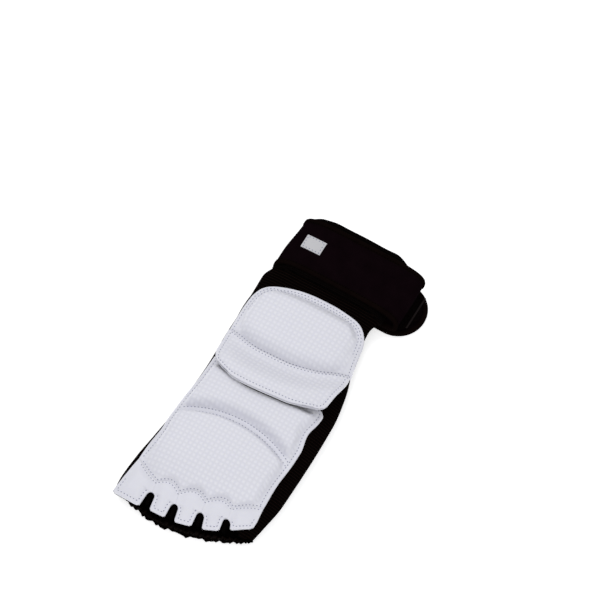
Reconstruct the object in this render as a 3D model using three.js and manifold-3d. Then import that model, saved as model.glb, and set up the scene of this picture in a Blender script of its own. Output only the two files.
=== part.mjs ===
// Taekwondo foot guard for a left foot, lying flat on its sole with its ankle strap closed.
// A ribbed knit sock carries padded white covers on the instep and forefoot, a slotted toe cover,
// an elastic toe band, an ankle cuff and a hook-and-loop ankle strap.
// Millimetres. +Y runs from the toes to the ankle, +Z from the sole to the instep, -X is the big-toe side.
import * as THREE from "three";
import { mergeVertices } from "three/addons/utils/BufferGeometryUtils.js";
import Module from "manifold-3d";

const wasm = await Module();
wasm.setup();

// ---- driving dimensions ----
const KNIT = 1.8; // wall of the ribbed knit
const GAP = 0.3; // between pieces that touch
const SKIN = 1.2; // synthetic leather cover
const LIFT = 0.5; // clearance between the curved knit and the covers on it
const ANKLE_Y = 24; // fold line of the ankle
const FLAP_Y = 14; // fold line of the loose instep flap
const CUFF_Y = [90, 141];
const STRAP_Y = [87, 135.5];
const STRAP = 2.6; // strap thickness
const BINDING = 3.3; // width of the strap's edge binding
const TAB_END_X = 71;
const TAB_SEAM_X = 0;
const TAB_HALF = 22.5; // half width of the strap's rounded end tab
const TAB_Y = 108.5;
const ROUNDNESS = 2.6; // superellipse power of the sock's section

// ---- curves ----
// A smooth function through [at, value] pairs that never overshoots them.
function through(points) {
  const slope = points.slice(1).map((p, i) => (p[1] - points[i][1]) / (p[0] - points[i][0]));
  const tangent = points.map((p, i) => {
    const before = slope[i - 1] ?? slope[0];
    const after = slope[i] ?? slope[slope.length - 1];
    return before * after <= 0 ? 0 : (2 * before * after) / (before + after);
  });
  return (at) => {
    let i = 0;
    while (i < points.length - 2 && at > points[i + 1][0]) i++;
    const span = points[i + 1][0] - points[i][0];
    const t = Math.min(1, Math.max(0, (at - points[i][0]) / span));
    const rise = t * t * (3 - 2 * t);
    return (
      points[i][1] * (1 - rise) + points[i + 1][1] * rise +
      span * t * (1 - t) * ((1 - t) * tangent[i] - t * tangent[i + 1])
    );
  };
}

const mix = (a, b, t) => a + (b - a) * t;

// 0 at the border of a pad, rounding over to 1 at `width` inside it.
function shoulder(inside, width) {
  const t = Math.min(1, Math.max(0, inside / width));
  return Math.sqrt(1 - (1 - t) * (1 - t));
}

// ---- the sock's outer surface ----
const edgeLeft = through([
  [-142, -56.5], [-121, -58.5], [-100, -57], [-80, -54.5], [-50, -52], [-10, -51], [30, -50.5],
  [75, -49.5], [90, -45.5], [142, -44.5],
]);
const edgeRight = through([
  [-142, 51], [-120, 52.5], [-105, 55], [-80, 58.5], [-40, 59], [-5, 58], [20, 54], [40, 48],
  [60, 43.5], [76, 42], [92, 46.5], [142, 47],
]);
const floorLine = through([[-142, 0], [34, 0], [60, 2.5], [90, 7.8], [142, 7.8]]);
const topLine = through([
  [-142, 11], [-120, 14], [-100, 16.5], [-60, 18.5], [-10, 19.5], [24, 19.2], [60, 18.3], [90, 17.4],
  [142, 17.2],
]);

const section = (y) => ({
  centre: (edgeLeft(y) + edgeRight(y)) / 2,
  half: (edgeRight(y) - edgeLeft(y)) / 2,
  middle: (floorLine(y) + topLine(y)) / 2,
  rise: (topLine(y) - floorLine(y)) / 2,
});

// The lower half lies flat on the table in its middle; the big-toe side is rounder than the other.
const lowerHalf = (side) => (side < 0 ? { power: 2, flatten: 1.035 } : { power: ROUNDNESS, flatten: 1.12 });

// Point of the sock wall at station y. Angle 0 is the little-toe side, 90 the instep, 180 the big-toe
// side and 270 the sole; inset moves it inwards from the outer surface.
function wallPoint(y, degrees, inset = 0) {
  const s = section(y);
  const angle = THREE.MathUtils.degToRad(degrees);
  const c = Math.cos(angle);
  const n = Math.sin(angle);
  const lower = n < 0 ? lowerHalf(c) : { power: ROUNDNESS, flatten: 1 };
  const across = Math.sign(c) * Math.abs(c) ** (2 / lower.power);
  const up = Math.sign(n) * Math.min(1, lower.flatten * Math.abs(n) ** (2 / lower.power));
  return [s.centre + (s.half - inset) * across, y, s.middle + (s.rise - inset) * up];
}

function heightAt(x, y, above) {
  const s = section(y);
  const u = Math.min(1, Math.abs(x - s.centre) / s.half);
  const lower = above ? { power: ROUNDNESS, flatten: 1 } : lowerHalf(x - s.centre);
  const bulge = Math.min(1, lower.flatten * (1 - u ** lower.power) ** (1 / lower.power));
  return s.middle + (above ? 1 : -1) * s.rise * bulge;
}
const topAt = (x, y) => heightAt(x, y, true);
const soleAt = (x, y) => heightAt(x, y, false);

// ---- solids ----
function closed(positions, index) {
  const geometry = new THREE.BufferGeometry();
  geometry.setAttribute("position", new THREE.Float32BufferAttribute(positions, 3));
  geometry.setIndex(index);
  let volume = 0;
  const p = [0, 1, 2].map(() => new THREE.Vector3());
  for (let i = 0; i < index.length; i += 3) {
    p.forEach((v, k) => v.fromArray(positions, 3 * index[i + k]));
    volume += p[0].dot(p[1].clone().cross(p[2]));
  }
  if (volume < 0) index.reverse();
  geometry.setIndex(index);
  return geometry;
}

const even = (steps, from = 0, to = 1) =>
  Array.from({ length: steps + 1 }, (_, i) => mix(from, to, i / steps));

// A closed body between two surfaces, each a function of (u, v) that gives [x, y, z], sampled at the
// stations us and vs. A ring closes on itself along u.
function between(outer, inner, us, vs, ring = false) {
  const nu = us.length - 1;
  const nv = vs.length - 1;
  const positions = [outer, inner].flatMap((surface) => vs.flatMap((v) => us.flatMap((u) => surface(u, v))));
  const index = [];
  const at = (side, i, j) => side * (nu + 1) * (nv + 1) + j * (nu + 1) + (ring ? i % nu : i);
  const quad = (a, b, c, d) => index.push(a, b, c, a, c, d);
  for (let j = 0; j < nv; j++)
    for (let i = 0; i < nu; i++) {
      quad(at(0, i, j), at(0, i + 1, j), at(0, i + 1, j + 1), at(0, i, j + 1));
      quad(at(1, i, j), at(1, i, j + 1), at(1, i + 1, j + 1), at(1, i + 1, j));
    }
  for (let i = 0; i < nu; i++) {
    quad(at(0, i + 1, 0), at(0, i, 0), at(1, i, 0), at(1, i + 1, 0));
    quad(at(0, i, nv), at(0, i + 1, nv), at(1, i + 1, nv), at(1, i, nv));
  }
  for (let j = 0; j < nv && !ring; j++) {
    quad(at(0, 0, j), at(0, 0, j + 1), at(1, 0, j + 1), at(1, 0, j));
    quad(at(0, nu, j + 1), at(0, nu, j), at(1, nu, j), at(1, nu, j + 1));
  }
  return closed(positions, index);
}

// A sheet over the plan: place(u, v) gives [x, y], and low and high give its two faces there.
function sheet(place, low, high, us, vs) {
  const face = (height) => (u, v) => {
    const [x, y] = place(u, v);
    return [x, y, height(x, y)];
  };
  return between(face(high), face(low), us, vs);
}

function toSolid(geometry) {
  const bare = geometry.clone();
  for (const name of Object.keys(bare.attributes)) if (name !== "position") bare.deleteAttribute(name);
  const merged = mergeVertices(bare, 1e-4);
  return new wasm.Manifold(
    new wasm.Mesh({
      numProp: 3,
      vertProperties: merged.attributes.position.array,
      triVerts: new Uint32Array(merged.index.array),
    }),
  );
}

function fromSolid(solid) {
  const mesh = solid.getMesh();
  const geometry = new THREE.BufferGeometry();
  geometry.setAttribute("position", new THREE.Float32BufferAttribute(mesh.vertProperties, 3));
  geometry.setIndex([...mesh.triVerts]);
  return geometry;
}

const without = (geometry, ...cutters) =>
  fromSolid(cutters.reduce((left, cutter) => left.subtract(toSolid(cutter)), toSolid(geometry)));

// A prism standing on a plan outline.
function prism(outline, low, high) {
  const shape = new THREE.Shape(outline.map(([x, y]) => new THREE.Vector2(x, y)));
  return new THREE.ExtrudeGeometry(shape, { depth: high - low, bevelEnabled: false }).translate(0, 0, low);
}

// ---- plan outlines of the toe end and the covers ----
const TOE_SLOPE = 0.12; // the toe fold line runs back towards the little toe
const toeFold = (x) => -111.5 + TOE_SLOPE * x;
const hemLine = through([
  [-58, -133.5], [-45, -137.5], [-20, -141.2], [0, -139.5], [20, -133.5], [38, -126], [52, -118.5],
]);
const tabLine = through([
  [-57, -135], [-35, -136.5], [-15, -135.5], [2, -133], [20, -127.5], [34, -120.5], [49, -110],
]);
const SEAM_VALLEYS = [[-53, -103], [-33, -114], [-13.6, -113.4], [7.5, -109.7], [27.6, -104.8], [47.5, -93]];
const SEAM_ARCH = [-1, 4.5, 5, 4.5, 1.5]; // how far each toe's arch bows back between its valleys
const TOE_SLOTS = [[-31.2, -123], [-11, -122.7], [9.3, -119.2], [29, -114]];

// The scalloped seam between the toe cover and the forefoot cover: one arch for each toe.
function scallop(x) {
  let i = 0;
  while (i < SEAM_VALLEYS.length - 2 && x > SEAM_VALLEYS[i + 1][0]) i++;
  const [x0, y0] = SEAM_VALLEYS[i];
  const [x1, y1] = SEAM_VALLEYS[i + 1];
  const t = (x - x0) / (x1 - x0);
  return mix(y0, y1, t) + SEAM_ARCH[i] * Math.sin(Math.PI * Math.min(1, Math.max(0, t)));
}

const coverLeft = through([[-112, -53], [-89, -51.8], [-65, -52], [-48, -50], [-26, -48], [-6, -47]]);
const coverRight = through([
  [-112, 49.5], [-90, 47.5], [-78, 47], [-50, 48.9], [-40, 49], [-24, 46.4], [-6, 48.4],
]);
const COVER_REAR = -7;
const groove = (x) => -39.5 - 12.5 * ((x + 2) / 48) ** 2;
const instepSeam = through([[-48, 22.5], [-20, 17], [0, 17.5], [24, 22.5], [46, 33.5]]);

// ---- padding: height of the foam above the knit ----
const FRONT_PAD = 8.5;
const REAR_PAD = 7.5;
const INSTEP_PAD = 8;

function forefootPadding(x, y) {
  const sides = shoulder(x - coverLeft(y) - 4.5, 7) * shoulder(coverRight(y) - 4.5 - x, 7);
  const front = shoulder(y - scallop(x) - 4.5, 9) * shoulder(groove(x) - 2 - y, 7);
  const rear = shoulder(y - groove(x) - 2, 8) * shoulder(PAD_REAR - y, 6);
  return sides * Math.max(FRONT_PAD * front, REAR_PAD * rear);
}

const INSTEP_TOP = 75;
const instepLeft = (y) => Math.max(-47.5, edgeLeft(y) + 3);
const instepRight = (y) => Math.min(46.5, edgeRight(y) - 3);
const INSTEP_CORNER = 17;

function instepPadding(x, y) {
  const sides = shoulder(x - instepLeft(y) - 5, 8) * shoulder(instepRight(y) - 5 - x, 8);
  return INSTEP_PAD * sides * shoulder(y - instepSeam(x) - 4, 9) * shoulder(INSTEP_TOP - 6 - y, 8);
}

// ---- knit sock ----
// The foot part runs from the slanted toe fold back to the ankle fold.
function footWall(from, to, steps) {
  const face = (inset) => (u, v) => {
    const degrees = mix(from, to, u);
    const [x] = wallPoint(toeFold(0), degrees);
    return wallPoint(mix(toeFold(x) + GAP, ANKLE_Y - GAP, v), degrees, inset);
  };
  return between(face(0), face(KNIT), even(steps), even(9));
}

function sleeveWall(from, to) {
  const face = (inset) => (u, v) =>
    wallPoint(mix(ANKLE_Y + GAP, CUFF_Y[0] - GAP, v), mix(from, to, u), inset);
  return between(face(0), face(KNIT), even(14), even(6));
}

// ---- openings under the foot ----
const loop = (points) =>
  new THREE.CatmullRomCurve3(points.map(([x, y]) => new THREE.Vector3(x, y, 0)), true);
const ballLoop = loop([
  [-30, -121], [-10, -123], [14, -112], [31, -95], [39, -75],
  [37, -58], [24, -54], [3, -60], [-18, -74], [-28, -98],
]);
const heelLoop = loop([[-27, 20], [-7, 11], [10, 22], [21, 40], [2, 50], [-17, 39]]);
const BALL_STEPS = 32;
const HEEL_STEPS = 24;
const EDGE_TAPE = 3.2; // width of the tape round each opening

// Point of a loop at share t, moved outwards by `out`.
function loopPoint(curve, t, out) {
  const p = curve.getPoint(t % 1);
  const along = curve.getTangent(t % 1);
  return [p.x + along.y * out, p.y - along.x * out];
}

// The opening and its tape as one cutter.
const openingCutter = (curve, steps) =>
  prism(even(steps - 1, 0, 1 - 1 / steps).map((t) => loopPoint(curve, t, EDGE_TAPE + GAP)), -5, 8);

// Tape along one stretch of an opening's edge, counted in the opening's own steps.
const edgeTape = (curve, steps, first, last) =>
  sheet(
    (u, v) => loopPoint(curve, u, v * EDGE_TAPE),
    (x, y) => soleAt(x, y),
    (x, y) => soleAt(x, y) + KNIT + 0.4,
    even(last - first, first / steps, last / steps),
    even(1),
  );

const seamX = through([[-62, 6], [-30, -4], [0, -8], [14, -7]]); // flat seam along the sole
const SEAM_HALF = 3;
const SEAM_Y = [-54, 5];

// Plan of everything on the far side of the seam, as seen from one half of the sole.
function acrossSeam(side) {
  const outline = [[-side * 90, -150]];
  for (let i = 0; i <= 14; i++) {
    const y = -150 + 15 * i;
    outline.push([seamX(y) + side * (SEAM_HALF + GAP), y]);
  }
  outline.push([-side * 90, 60]);
  return prism(outline, -5, topLine(0) / 2);
}

const solePanel = (side) =>
  without(
    footWall(181, 359, 20),
    openingCutter(ballLoop, BALL_STEPS),
    openingCutter(heelLoop, HEEL_STEPS),
    acrossSeam(side),
  );

const soleSeam = () =>
  sheet(
    (u, v) => {
      const y = mix(...SEAM_Y, v);
      return [seamX(y) + mix(-SEAM_HALF, SEAM_HALF, u), y];
    },
    (x, y) => soleAt(x, y),
    (x, y) => soleAt(x, y) + KNIT,
    even(1),
    even(6),
  );

// ---- toe end ----
const TOE_COVER = 2.4;
const TOE_PIVOT_Z = 17.2;
const TOE_RELIEF = 0.2; // the toe band leans away from the fold, so that the toes can also curl down

function toeBandPoint(degrees, v, inset) {
  const [x, , z] = wallPoint(-128, degrees);
  const rear = toeFold(x) - GAP - TOE_RELIEF * (TOE_PIVOT_Z - z);
  const y = mix(hemLine(x), rear, v);
  return wallPoint(y, degrees, inset);
}

function toeBand() {
  const face = (inset) => (u, v) => toeBandPoint(mix(186, 354, u), v, inset);
  return without(between(face(0), face(KNIT), even(20), even(4)), openingCutter(ballLoop, BALL_STEPS));
}

// Outline of the slot between two toes: a round end at its apex and sides that spread forwards.
function toeSlot([x, y]) {
  const radius = 3.3;
  const spread = 1.1;
  const lean = 2.2;
  const outline = [[x + lean - radius - spread, y - 22]];
  for (const angle of even(6, Math.PI, 0))
    outline.push([x + radius * Math.cos(angle), y - radius + radius * Math.sin(angle)]);
  outline.push([x + lean + radius + spread, y - 22]);
  return prism(outline.reverse(), 0, 30);
}

const TOE_X = [-53, 48]; // ends of the scalloped seam
const toeSheet = (front, rear, vs) =>
  sheet(
    (u, v) => {
      const x = mix(...TOE_X, u);
      return [x, mix(front(x), rear(x), v)];
    },
    (x, y) => topAt(x, y) + GAP,
    (x, y) => topAt(x, y) + GAP + TOE_COVER,
    even(20),
    vs,
  );
const tabRear = (x) => toeFold(x) - GAP - TOE_RELIEF * Math.max(0, TOE_PIVOT_Z - topAt(x, toeFold(x)));
const toeTabs = () => without(toeSheet(tabLine, tabRear, even(3)), ...TOE_SLOTS.map(toeSlot));
const toeRoot = () => toeSheet((x) => toeFold(x) + GAP, (x) => scallop(x) - GAP, even(1));

// The stitched ridge between two toes, standing on the band and reaching up to the toe cover.
function toeDivider([x, y]) {
  const face = (side) => (u, v) => {
    const at = y - 9 + 11 * u;
    return [x + side, at, mix(soleAt(x, y) + KNIT + 0.4 + GAP, topAt(x, at) - GAP, v)];
  };
  return between(face(1), face(-1), even(1), even(1));
}

// ---- padded covers ----
// Each foam pad takes the inner stations of the cover above it, so it fits the cover's underside.
const COVER_U = even(20);
const FRONT_V = [0, 0.04, 0.09, 0.16, 0.28, 0.45, 0.62, 0.78, 0.88, 0.95, 1];
const REAR_V = [1, 1.13, 1.26, 1.45, 1.65, 1.82, 2, 3];
const PAD_REAR = -15; // the rear pad's end, under the edge of the flap

// Plan position on the forefoot cover: v runs 0 to 1 over the front pad, 1 to 2 over the rear pad and
// 2 to 3 over the flat strip under the flap.
function forefootPlace(u, v) {
  const seamAt = mix(...TOE_X, u);
  const front = scallop(seamAt) + GAP;
  const lines = [front, groove(seamAt), PAD_REAR, COVER_REAR];
  const part = Math.min(2, Math.floor(v));
  const y = mix(lines[part], lines[part + 1], v - part);
  return [mix(seamAt, mix(coverLeft(y), coverRight(y), u), Math.min(1, 3 * v)), y];
}

const cover = (place, padding, us, vs) =>
  sheet(
    place,
    (x, y) => topAt(x, y) + LIFT + padding(x, y),
    (x, y) => topAt(x, y) + LIFT + SKIN + padding(x, y),
    us,
    vs,
  );
const foam = (place, padding, us, vs) =>
  sheet(place, (x, y) => topAt(x, y) + GAP, (x, y) => topAt(x, y) + LIFT - GAP + padding(x, y), us, vs);

const forefootCover = () => cover(forefootPlace, forefootPadding, COVER_U, [...FRONT_V, ...REAR_V.slice(1)]);
const frontFoam = () => foam(forefootPlace, forefootPadding, COVER_U.slice(2, -2), FRONT_V.slice(2, -2));
const rearFoam = () => foam(forefootPlace, forefootPadding, COVER_U.slice(2, -2), REAR_V.slice(1, -2));

// Plan position on the instep cover, whose sides draw in at its rounded upper corners.
// v runs 0 to 1 over the flat front edge and 1 to 2 over the pad.
function instepPlace(u, v) {
  const padFront = Math.max(ANKLE_Y + 2, instepSeam(mix(-47, 46, u)) + 4);
  const y = v < 1 ? mix(ANKLE_Y + GAP, padFront, v) : mix(padFront, INSTEP_TOP, v - 1);
  const into = Math.max(0, y - (INSTEP_TOP - INSTEP_CORNER));
  const drawn = INSTEP_CORNER - Math.sqrt(INSTEP_CORNER ** 2 - into ** 2 + 1e-9);
  return [mix(instepLeft(y) + drawn, instepRight(y) - drawn, u), y];
}
const INSTEP_U = [0, 0.06, 0.13, 0.2, 0.3, 0.42, 0.58, 0.7, 0.8, 0.87, 0.94, 1];
const INSTEP_V = [0, 1, 1.08, 1.18, 1.35, 1.55, 1.7, 1.8, 1.88, 1.95, 2];
const instepCover = () => cover(instepPlace, instepPadding, INSTEP_U, INSTEP_V);
const instepFoam = () => foam(instepPlace, instepPadding, INSTEP_U.slice(1, -1), INSTEP_V.slice(2, -2));

// The strip of cover between the flap's stitching and the ankle fold.
const instepWeb = () =>
  sheet(
    (u, v) => [mix(instepLeft(ANKLE_Y), instepRight(ANKLE_Y), u), mix(FLAP_Y + GAP, ANKLE_Y - GAP, v)],
    (x, y) => topAt(x, y) + LIFT,
    (x, y) => topAt(x, y) + LIFT + SKIN,
    even(12),
    even(1),
  );

// The flap hangs loose over the forefoot cover, so it rises towards its free edge.
const flapEdge = (x) => FLAP_Y - 28 * (1 - Math.min(1, Math.abs((x + 0.5) / 47)) ** 8) ** 0.45;
const flapRise = (y) => (4.2 * (FLAP_Y - y)) / 28;
const FLAP_LINING = 0.9;
const flapSheet = (from, to) =>
  sheet(
    (u, v) => {
      const x = -0.5 - 46.4 * Math.cos(Math.PI * u);
      return [x, mix(flapEdge(x), FLAP_Y - GAP, v)];
    },
    (x, y) => topAt(x, y) + GAP + flapRise(y) + from,
    (x, y) => topAt(x, y) + GAP + flapRise(y) + to,
    even(14),
    even(4),
  );

// ---- wear patches along the big-toe side ----
// A pod-shaped patch over the side wall: middle and half are its angles round the wall at station y.
const sidePatch = (fromY, toY, middle, half, thick, stations) =>
  between(
    (u, v) => wallPoint(mix(fromY, toY, v), middle(v) + (2 * u - 1) * half(v), -2 * GAP - thick),
    (u, v) => wallPoint(mix(fromY, toY, v), middle(v) + (2 * u - 1) * half(v), -2 * GAP),
    even(5),
    even(stations),
  );
const pod = (wide, narrow) => (v) => narrow + (wide - narrow) * Math.sin(Math.PI * v ** 1.4) ** 0.7;

// ---- ankle strap ----
const LOOP = { x: 4.2, half: 52.4, z: 12.4, up: 7.2, down: 6.6, power: 3 };

// Point of the strap's mid-surface round the ankle, moved out along its normal.
function strapPoint(degrees, out) {
  const at = (d) => {
    const angle = THREE.MathUtils.degToRad(d);
    const c = Math.cos(angle);
    const n = Math.sin(angle);
    return [
      LOOP.x + LOOP.half * Math.sign(c) * Math.abs(c) ** (2 / LOOP.power),
      LOOP.z + (n > 0 ? LOOP.up : LOOP.down) * Math.sign(n) * Math.abs(n) ** (2 / LOOP.power),
    ];
  };
  const [x, z] = at(degrees);
  const [x0, z0] = at(degrees - 0.5);
  const [x1, z1] = at(degrees + 0.5);
  const length = Math.hypot(x1 - x0, z1 - z0);
  return [x + (out * (z1 - z0)) / length, z - (out * (x1 - x0)) / length];
}
function strapBand(fromY, toY, low, high, stations) {
  const face = (out) => (degrees, v) => {
    const [x, z] = strapPoint(degrees, out);
    return [x, mix(fromY, toY, v), z];
  };
  return between(face(high), face(low), stations, even(1));
}
// From the strap's sewn end under the ankle, over the top, to the big-toe fold.
const STRAP_WRAP = even(34, -100, 212);
const frontStrap = (fromY, toY, thick) => strapBand(fromY, toY, -thick / 2, thick / 2, STRAP_WRAP);
const loopPatch = () => strapBand(96, 126, STRAP / 2 + GAP, STRAP / 2 + GAP + 0.5, even(6, -99, -77));

const BACK_START_X = -38;
const backHeight = (x) => {
  const t = Math.min(1, Math.max(0, (-14 - x) / 24));
  return 3.4 * t * t * (3 - 2 * t);
};
// The strap's free run under the ankle narrows from the fold to the end tab.
const backEdge = (x, side, inset) => {
  const t = (x - BACK_START_X) / (TAB_SEAM_X - BACK_START_X);
  const fold = side < 0 ? STRAP_Y[0] : STRAP_Y[1];
  return mix(fold, TAB_Y + side * TAB_HALF, t) - side * inset;
};
const backSheet = (low, high, thick) =>
  sheet(
    (u, v) => {
      const x = mix(BACK_START_X, TAB_SEAM_X - GAP, u);
      return [x, mix(low(x), high(x), v)];
    },
    (x) => backHeight(x),
    (x) => backHeight(x) + thick,
    even(6),
    even(1),
  );

function tabOutline(inset, fromX) {
  const centreX = TAB_END_X - TAB_HALF;
  const radius = TAB_HALF - inset;
  const outline = [[fromX, TAB_Y - radius]];
  for (const angle of even(14, -Math.PI / 2, Math.PI / 2))
    outline.push([centreX + radius * Math.cos(angle), TAB_Y + radius * Math.sin(angle)]);
  outline.push([fromX, TAB_Y + radius]);
  return outline;
}
const tabBinding = () =>
  without(prism(tabOutline(0, TAB_SEAM_X + GAP), 0, 3), prism(tabOutline(BINDING, TAB_SEAM_X - 5), -1, 5));

// A blank label pressed onto the strap's front run near its big-toe end.
const label = () => strapBand(107, 119, STRAP / 2 + GAP, STRAP / 2 + GAP + 0.4, even(4, 108, 138));

const ankleCuff = () =>
  between(
    (u, v) => wallPoint(mix(...CUFF_Y, v), 360 * u),
    (u, v) => wallPoint(mix(...CUFF_Y, v), 360 * u, 1.6),
    even(28),
    even(2),
    true,
  );

// ---- materials ----
const finish = (color, roughness) => new THREE.MeshStandardMaterial({ color, roughness, metalness: 0 });
const knitBlack = finish(0x17140f, 0.95);
const coverWhite = finish(0xe6e6ec, 0.5);
const foamGrey = finish(0xb8b8b0, 0.9);
const patchGrey = finish(0x3a3838, 0.35);
const strapBlack = finish(0x1d161c, 0.85);
const tapeBlack = finish(0x121010, 0.8);
const labelGrey = finish(0xd8d8d0, 0.6);

// ---- the guard ----
const guard = new THREE.Group();
const moving = {};
for (const name of ["foot", "toe_row", "flap", "sleeve", "strap_back", "strap_tab"]) {
  moving[name] = new THREE.Group();
  guard.add(moving[name]);
}

function piece(body, name, geometry, material) {
  const mesh = new THREE.Mesh(geometry, material);
  mesh.name = name;
  moving[body].add(mesh);
}

piece("foot", "instep_knit", footWall(1, 179, 16), knitBlack);
piece("foot", "sole_knit_medial", solePanel(-1), knitBlack);
piece("foot", "sole_knit_lateral", solePanel(1), knitBlack);
piece("foot", "sole_seam", soleSeam(), tapeBlack);
piece("foot", "ball_opening_tape_rear", edgeTape(ballLoop, BALL_STEPS, 8, 30), tapeBlack);
piece("foot", "heel_opening_tape_front", edgeTape(heelLoop, HEEL_STEPS, 0, 8), tapeBlack);
piece("foot", "forefoot_cover", forefootCover(), coverWhite);
piece("foot", "forefoot_foam_front", frontFoam(), foamGrey);
piece("foot", "forefoot_foam_rear", rearFoam(), foamGrey);
piece("foot", "toe_cover_root", toeRoot(), coverWhite);
piece("foot", "instep_web", instepWeb(), coverWhite);
piece("foot", "side_patch", sidePatch(-94, -16, (v) => 188 + 8 * v, pod(27, 9), 1, 8), patchGrey);

piece("toe_row", "toe_cover_tabs", toeTabs(), coverWhite);
piece("toe_row", "toe_band", toeBand(), knitBlack);
piece("toe_row", "ball_opening_tape_front", edgeTape(ballLoop, BALL_STEPS, 0, 6), tapeBlack);
TOE_SLOTS.forEach((slot, i) => piece("toe_row", `toe_divider_${i + 1}`, toeDivider(slot), tapeBlack));

piece("flap", "instep_flap", flapSheet(FLAP_LINING + GAP, FLAP_LINING + GAP + SKIN), coverWhite);
piece("flap", "instep_flap_lining", flapSheet(0, FLAP_LINING), coverWhite);

piece("sleeve", "sleeve_knit_front", sleeveWall(1, 179), knitBlack);
const sleeveBack = without(sleeveWall(181, 359), openingCutter(heelLoop, HEEL_STEPS));
piece("sleeve", "sleeve_knit_back", sleeveBack, knitBlack);
piece("sleeve", "heel_opening_tape_rear", edgeTape(heelLoop, HEEL_STEPS, 10, 22), tapeBlack);
piece("sleeve", "instep_cover", instepCover(), coverWhite);
piece("sleeve", "instep_foam", instepFoam(), foamGrey);
piece("sleeve", "ankle_patch", sidePatch(ANKLE_Y + 1, 66, () => 184, pod(20, 8), 1, 6), patchGrey);
piece("sleeve", "ankle_cuff", ankleCuff(), strapBlack);
const edging = STRAP + 0.4;
const [strapLow, strapHigh] = STRAP_Y;
piece("sleeve", "ankle_strap", frontStrap(strapLow + BINDING, strapHigh - BINDING, STRAP), strapBlack);
piece("sleeve", "strap_binding_lower", frontStrap(strapLow, strapLow + BINDING - GAP, edging), tapeBlack);
piece("sleeve", "strap_binding_upper", frontStrap(strapHigh - BINDING + GAP, strapHigh, edging), tapeBlack);
piece("sleeve", "strap_loop_patch", loopPatch(), tapeBlack);
piece("sleeve", "strap_label", label(), labelGrey);

const backRun = (side, inset) => (x) => backEdge(x, side, inset);
const backCloth = backSheet(backRun(-1, BINDING), backRun(1, BINDING), STRAP);
const backLower = backSheet(backRun(-1, 0), backRun(-1, BINDING - GAP), edging);
const backUpper = backSheet(backRun(1, BINDING - GAP), backRun(1, 0), edging);
piece("strap_back", "strap_back_run", backCloth, strapBlack);
piece("strap_back", "back_binding_lower", backLower, tapeBlack);
piece("strap_back", "back_binding_upper", backUpper, tapeBlack);

piece("strap_tab", "strap_end_tab", prism(tabOutline(BINDING + GAP, TAB_SEAM_X + GAP), 0, STRAP), strapBlack);
piece("strap_tab", "tab_binding", tabBinding(), tapeBlack);
const hookPatch = prism(tabOutline(BINDING + 2, TAB_SEAM_X + 6), STRAP + GAP, STRAP + GAP + 0.5);
piece("strap_tab", "strap_hook_patch", hookPatch, tapeBlack);

export default guard;
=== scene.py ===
"""Visual model of a padded martial arts foot guard (left foot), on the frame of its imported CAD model.

The guard lies on its sole with its ankle strap closed. +Y runs from the toes to the ankle, +Z from the
sole to the instep, and -X is the big-toe side. Shapes are worked out in millimetres.
"""
import math

import bmesh
import bpy
import numpy as np
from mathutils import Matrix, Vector
from mathutils.bvhtree import BVHTree


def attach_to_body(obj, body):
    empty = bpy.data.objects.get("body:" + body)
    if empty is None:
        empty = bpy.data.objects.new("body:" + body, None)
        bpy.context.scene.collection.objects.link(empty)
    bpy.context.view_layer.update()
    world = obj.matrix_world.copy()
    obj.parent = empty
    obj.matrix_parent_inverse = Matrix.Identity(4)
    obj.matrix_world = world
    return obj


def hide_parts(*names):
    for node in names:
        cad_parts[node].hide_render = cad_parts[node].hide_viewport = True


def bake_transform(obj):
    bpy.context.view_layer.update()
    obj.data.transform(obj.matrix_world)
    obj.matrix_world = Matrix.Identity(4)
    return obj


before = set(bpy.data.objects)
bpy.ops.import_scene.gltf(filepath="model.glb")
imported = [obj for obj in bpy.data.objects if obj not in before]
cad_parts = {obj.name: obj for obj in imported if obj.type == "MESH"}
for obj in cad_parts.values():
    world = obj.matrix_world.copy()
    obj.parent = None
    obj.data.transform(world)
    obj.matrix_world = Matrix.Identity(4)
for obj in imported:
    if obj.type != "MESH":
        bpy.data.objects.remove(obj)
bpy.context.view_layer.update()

MM = 0.001

# ---- driving dimensions, in millimetres ----
KNIT = 1.5              # wall of the knit sock
SKIN = 1.2              # synthetic leather of the covers, the toe cover and the flap
TOE_SKIN = 1.5
FLAP_SKIN = 1.1
LIFT = 0.5              # clearance between the knit and a cover
FRONT_PAD = 8.5         # heights of the three foam pads
REAR_PAD = 7.5
INSTEP_PAD = 8.0
FOREFOOT_PUFF = 1.5     # the most that air moves each simulated cover
INSTEP_PUFF = 1.7
TAB_PUFF = (2.6, 1.5, 1.5, 1.6, 2.4)    # height of each toe tab's padding
ROUNDNESS = 2.6         # superellipse power of the sock's section
MID_Y = -45             # where the front and rear pieces of the sock meet
SOCK_REAR = 92
COVER_REAR = -2         # the forefoot cover and its rear pad run on under the flap
PAD_REAR = -8
INSTEP_RADIUS = 17      # rounded corners of the instep cover and of the flap
FLAP_RADIUS = 8.5
STRAP_Y = (87, 132.6)   # strap edges at its fold; it bows towards the ankle on the instep
STRAP_BOW = (5.5, 4)    # how far its lower and upper edges bow
STRAP = 2.6             # strap thickness
BINDING = 4.2           # width of its bindings
LOOP_MIDDLE = (4.2, 12.4)       # x and z of the strap's loop round the ankle
LOOP_HALF = (52.4, 7.2, 6.6)    # its half width, and its heights above and below the middle
TAB_Y = 108.5           # middle line of the strap's end tab
TAB_HALF = 22.5         # its half width, and x where its round end begins
TAB_ROUND = 48.5
CUFF_Y = (85.6, 137.2)  # edges of the elastic cuff where it runs under the strap's back run
FOLD_SLANT = 0.12       # the toe fold moves back by this for each millimetre towards the little toe
EMBOSS_PITCH = 3.6      # squares pressed into the white leather
SEAM_OFFSET = 1.5       # each row of a double seam, from the seam's own line
GROOVE_OFFSET = 1.9     # each row of stitches, from the groove between the pads
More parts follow.
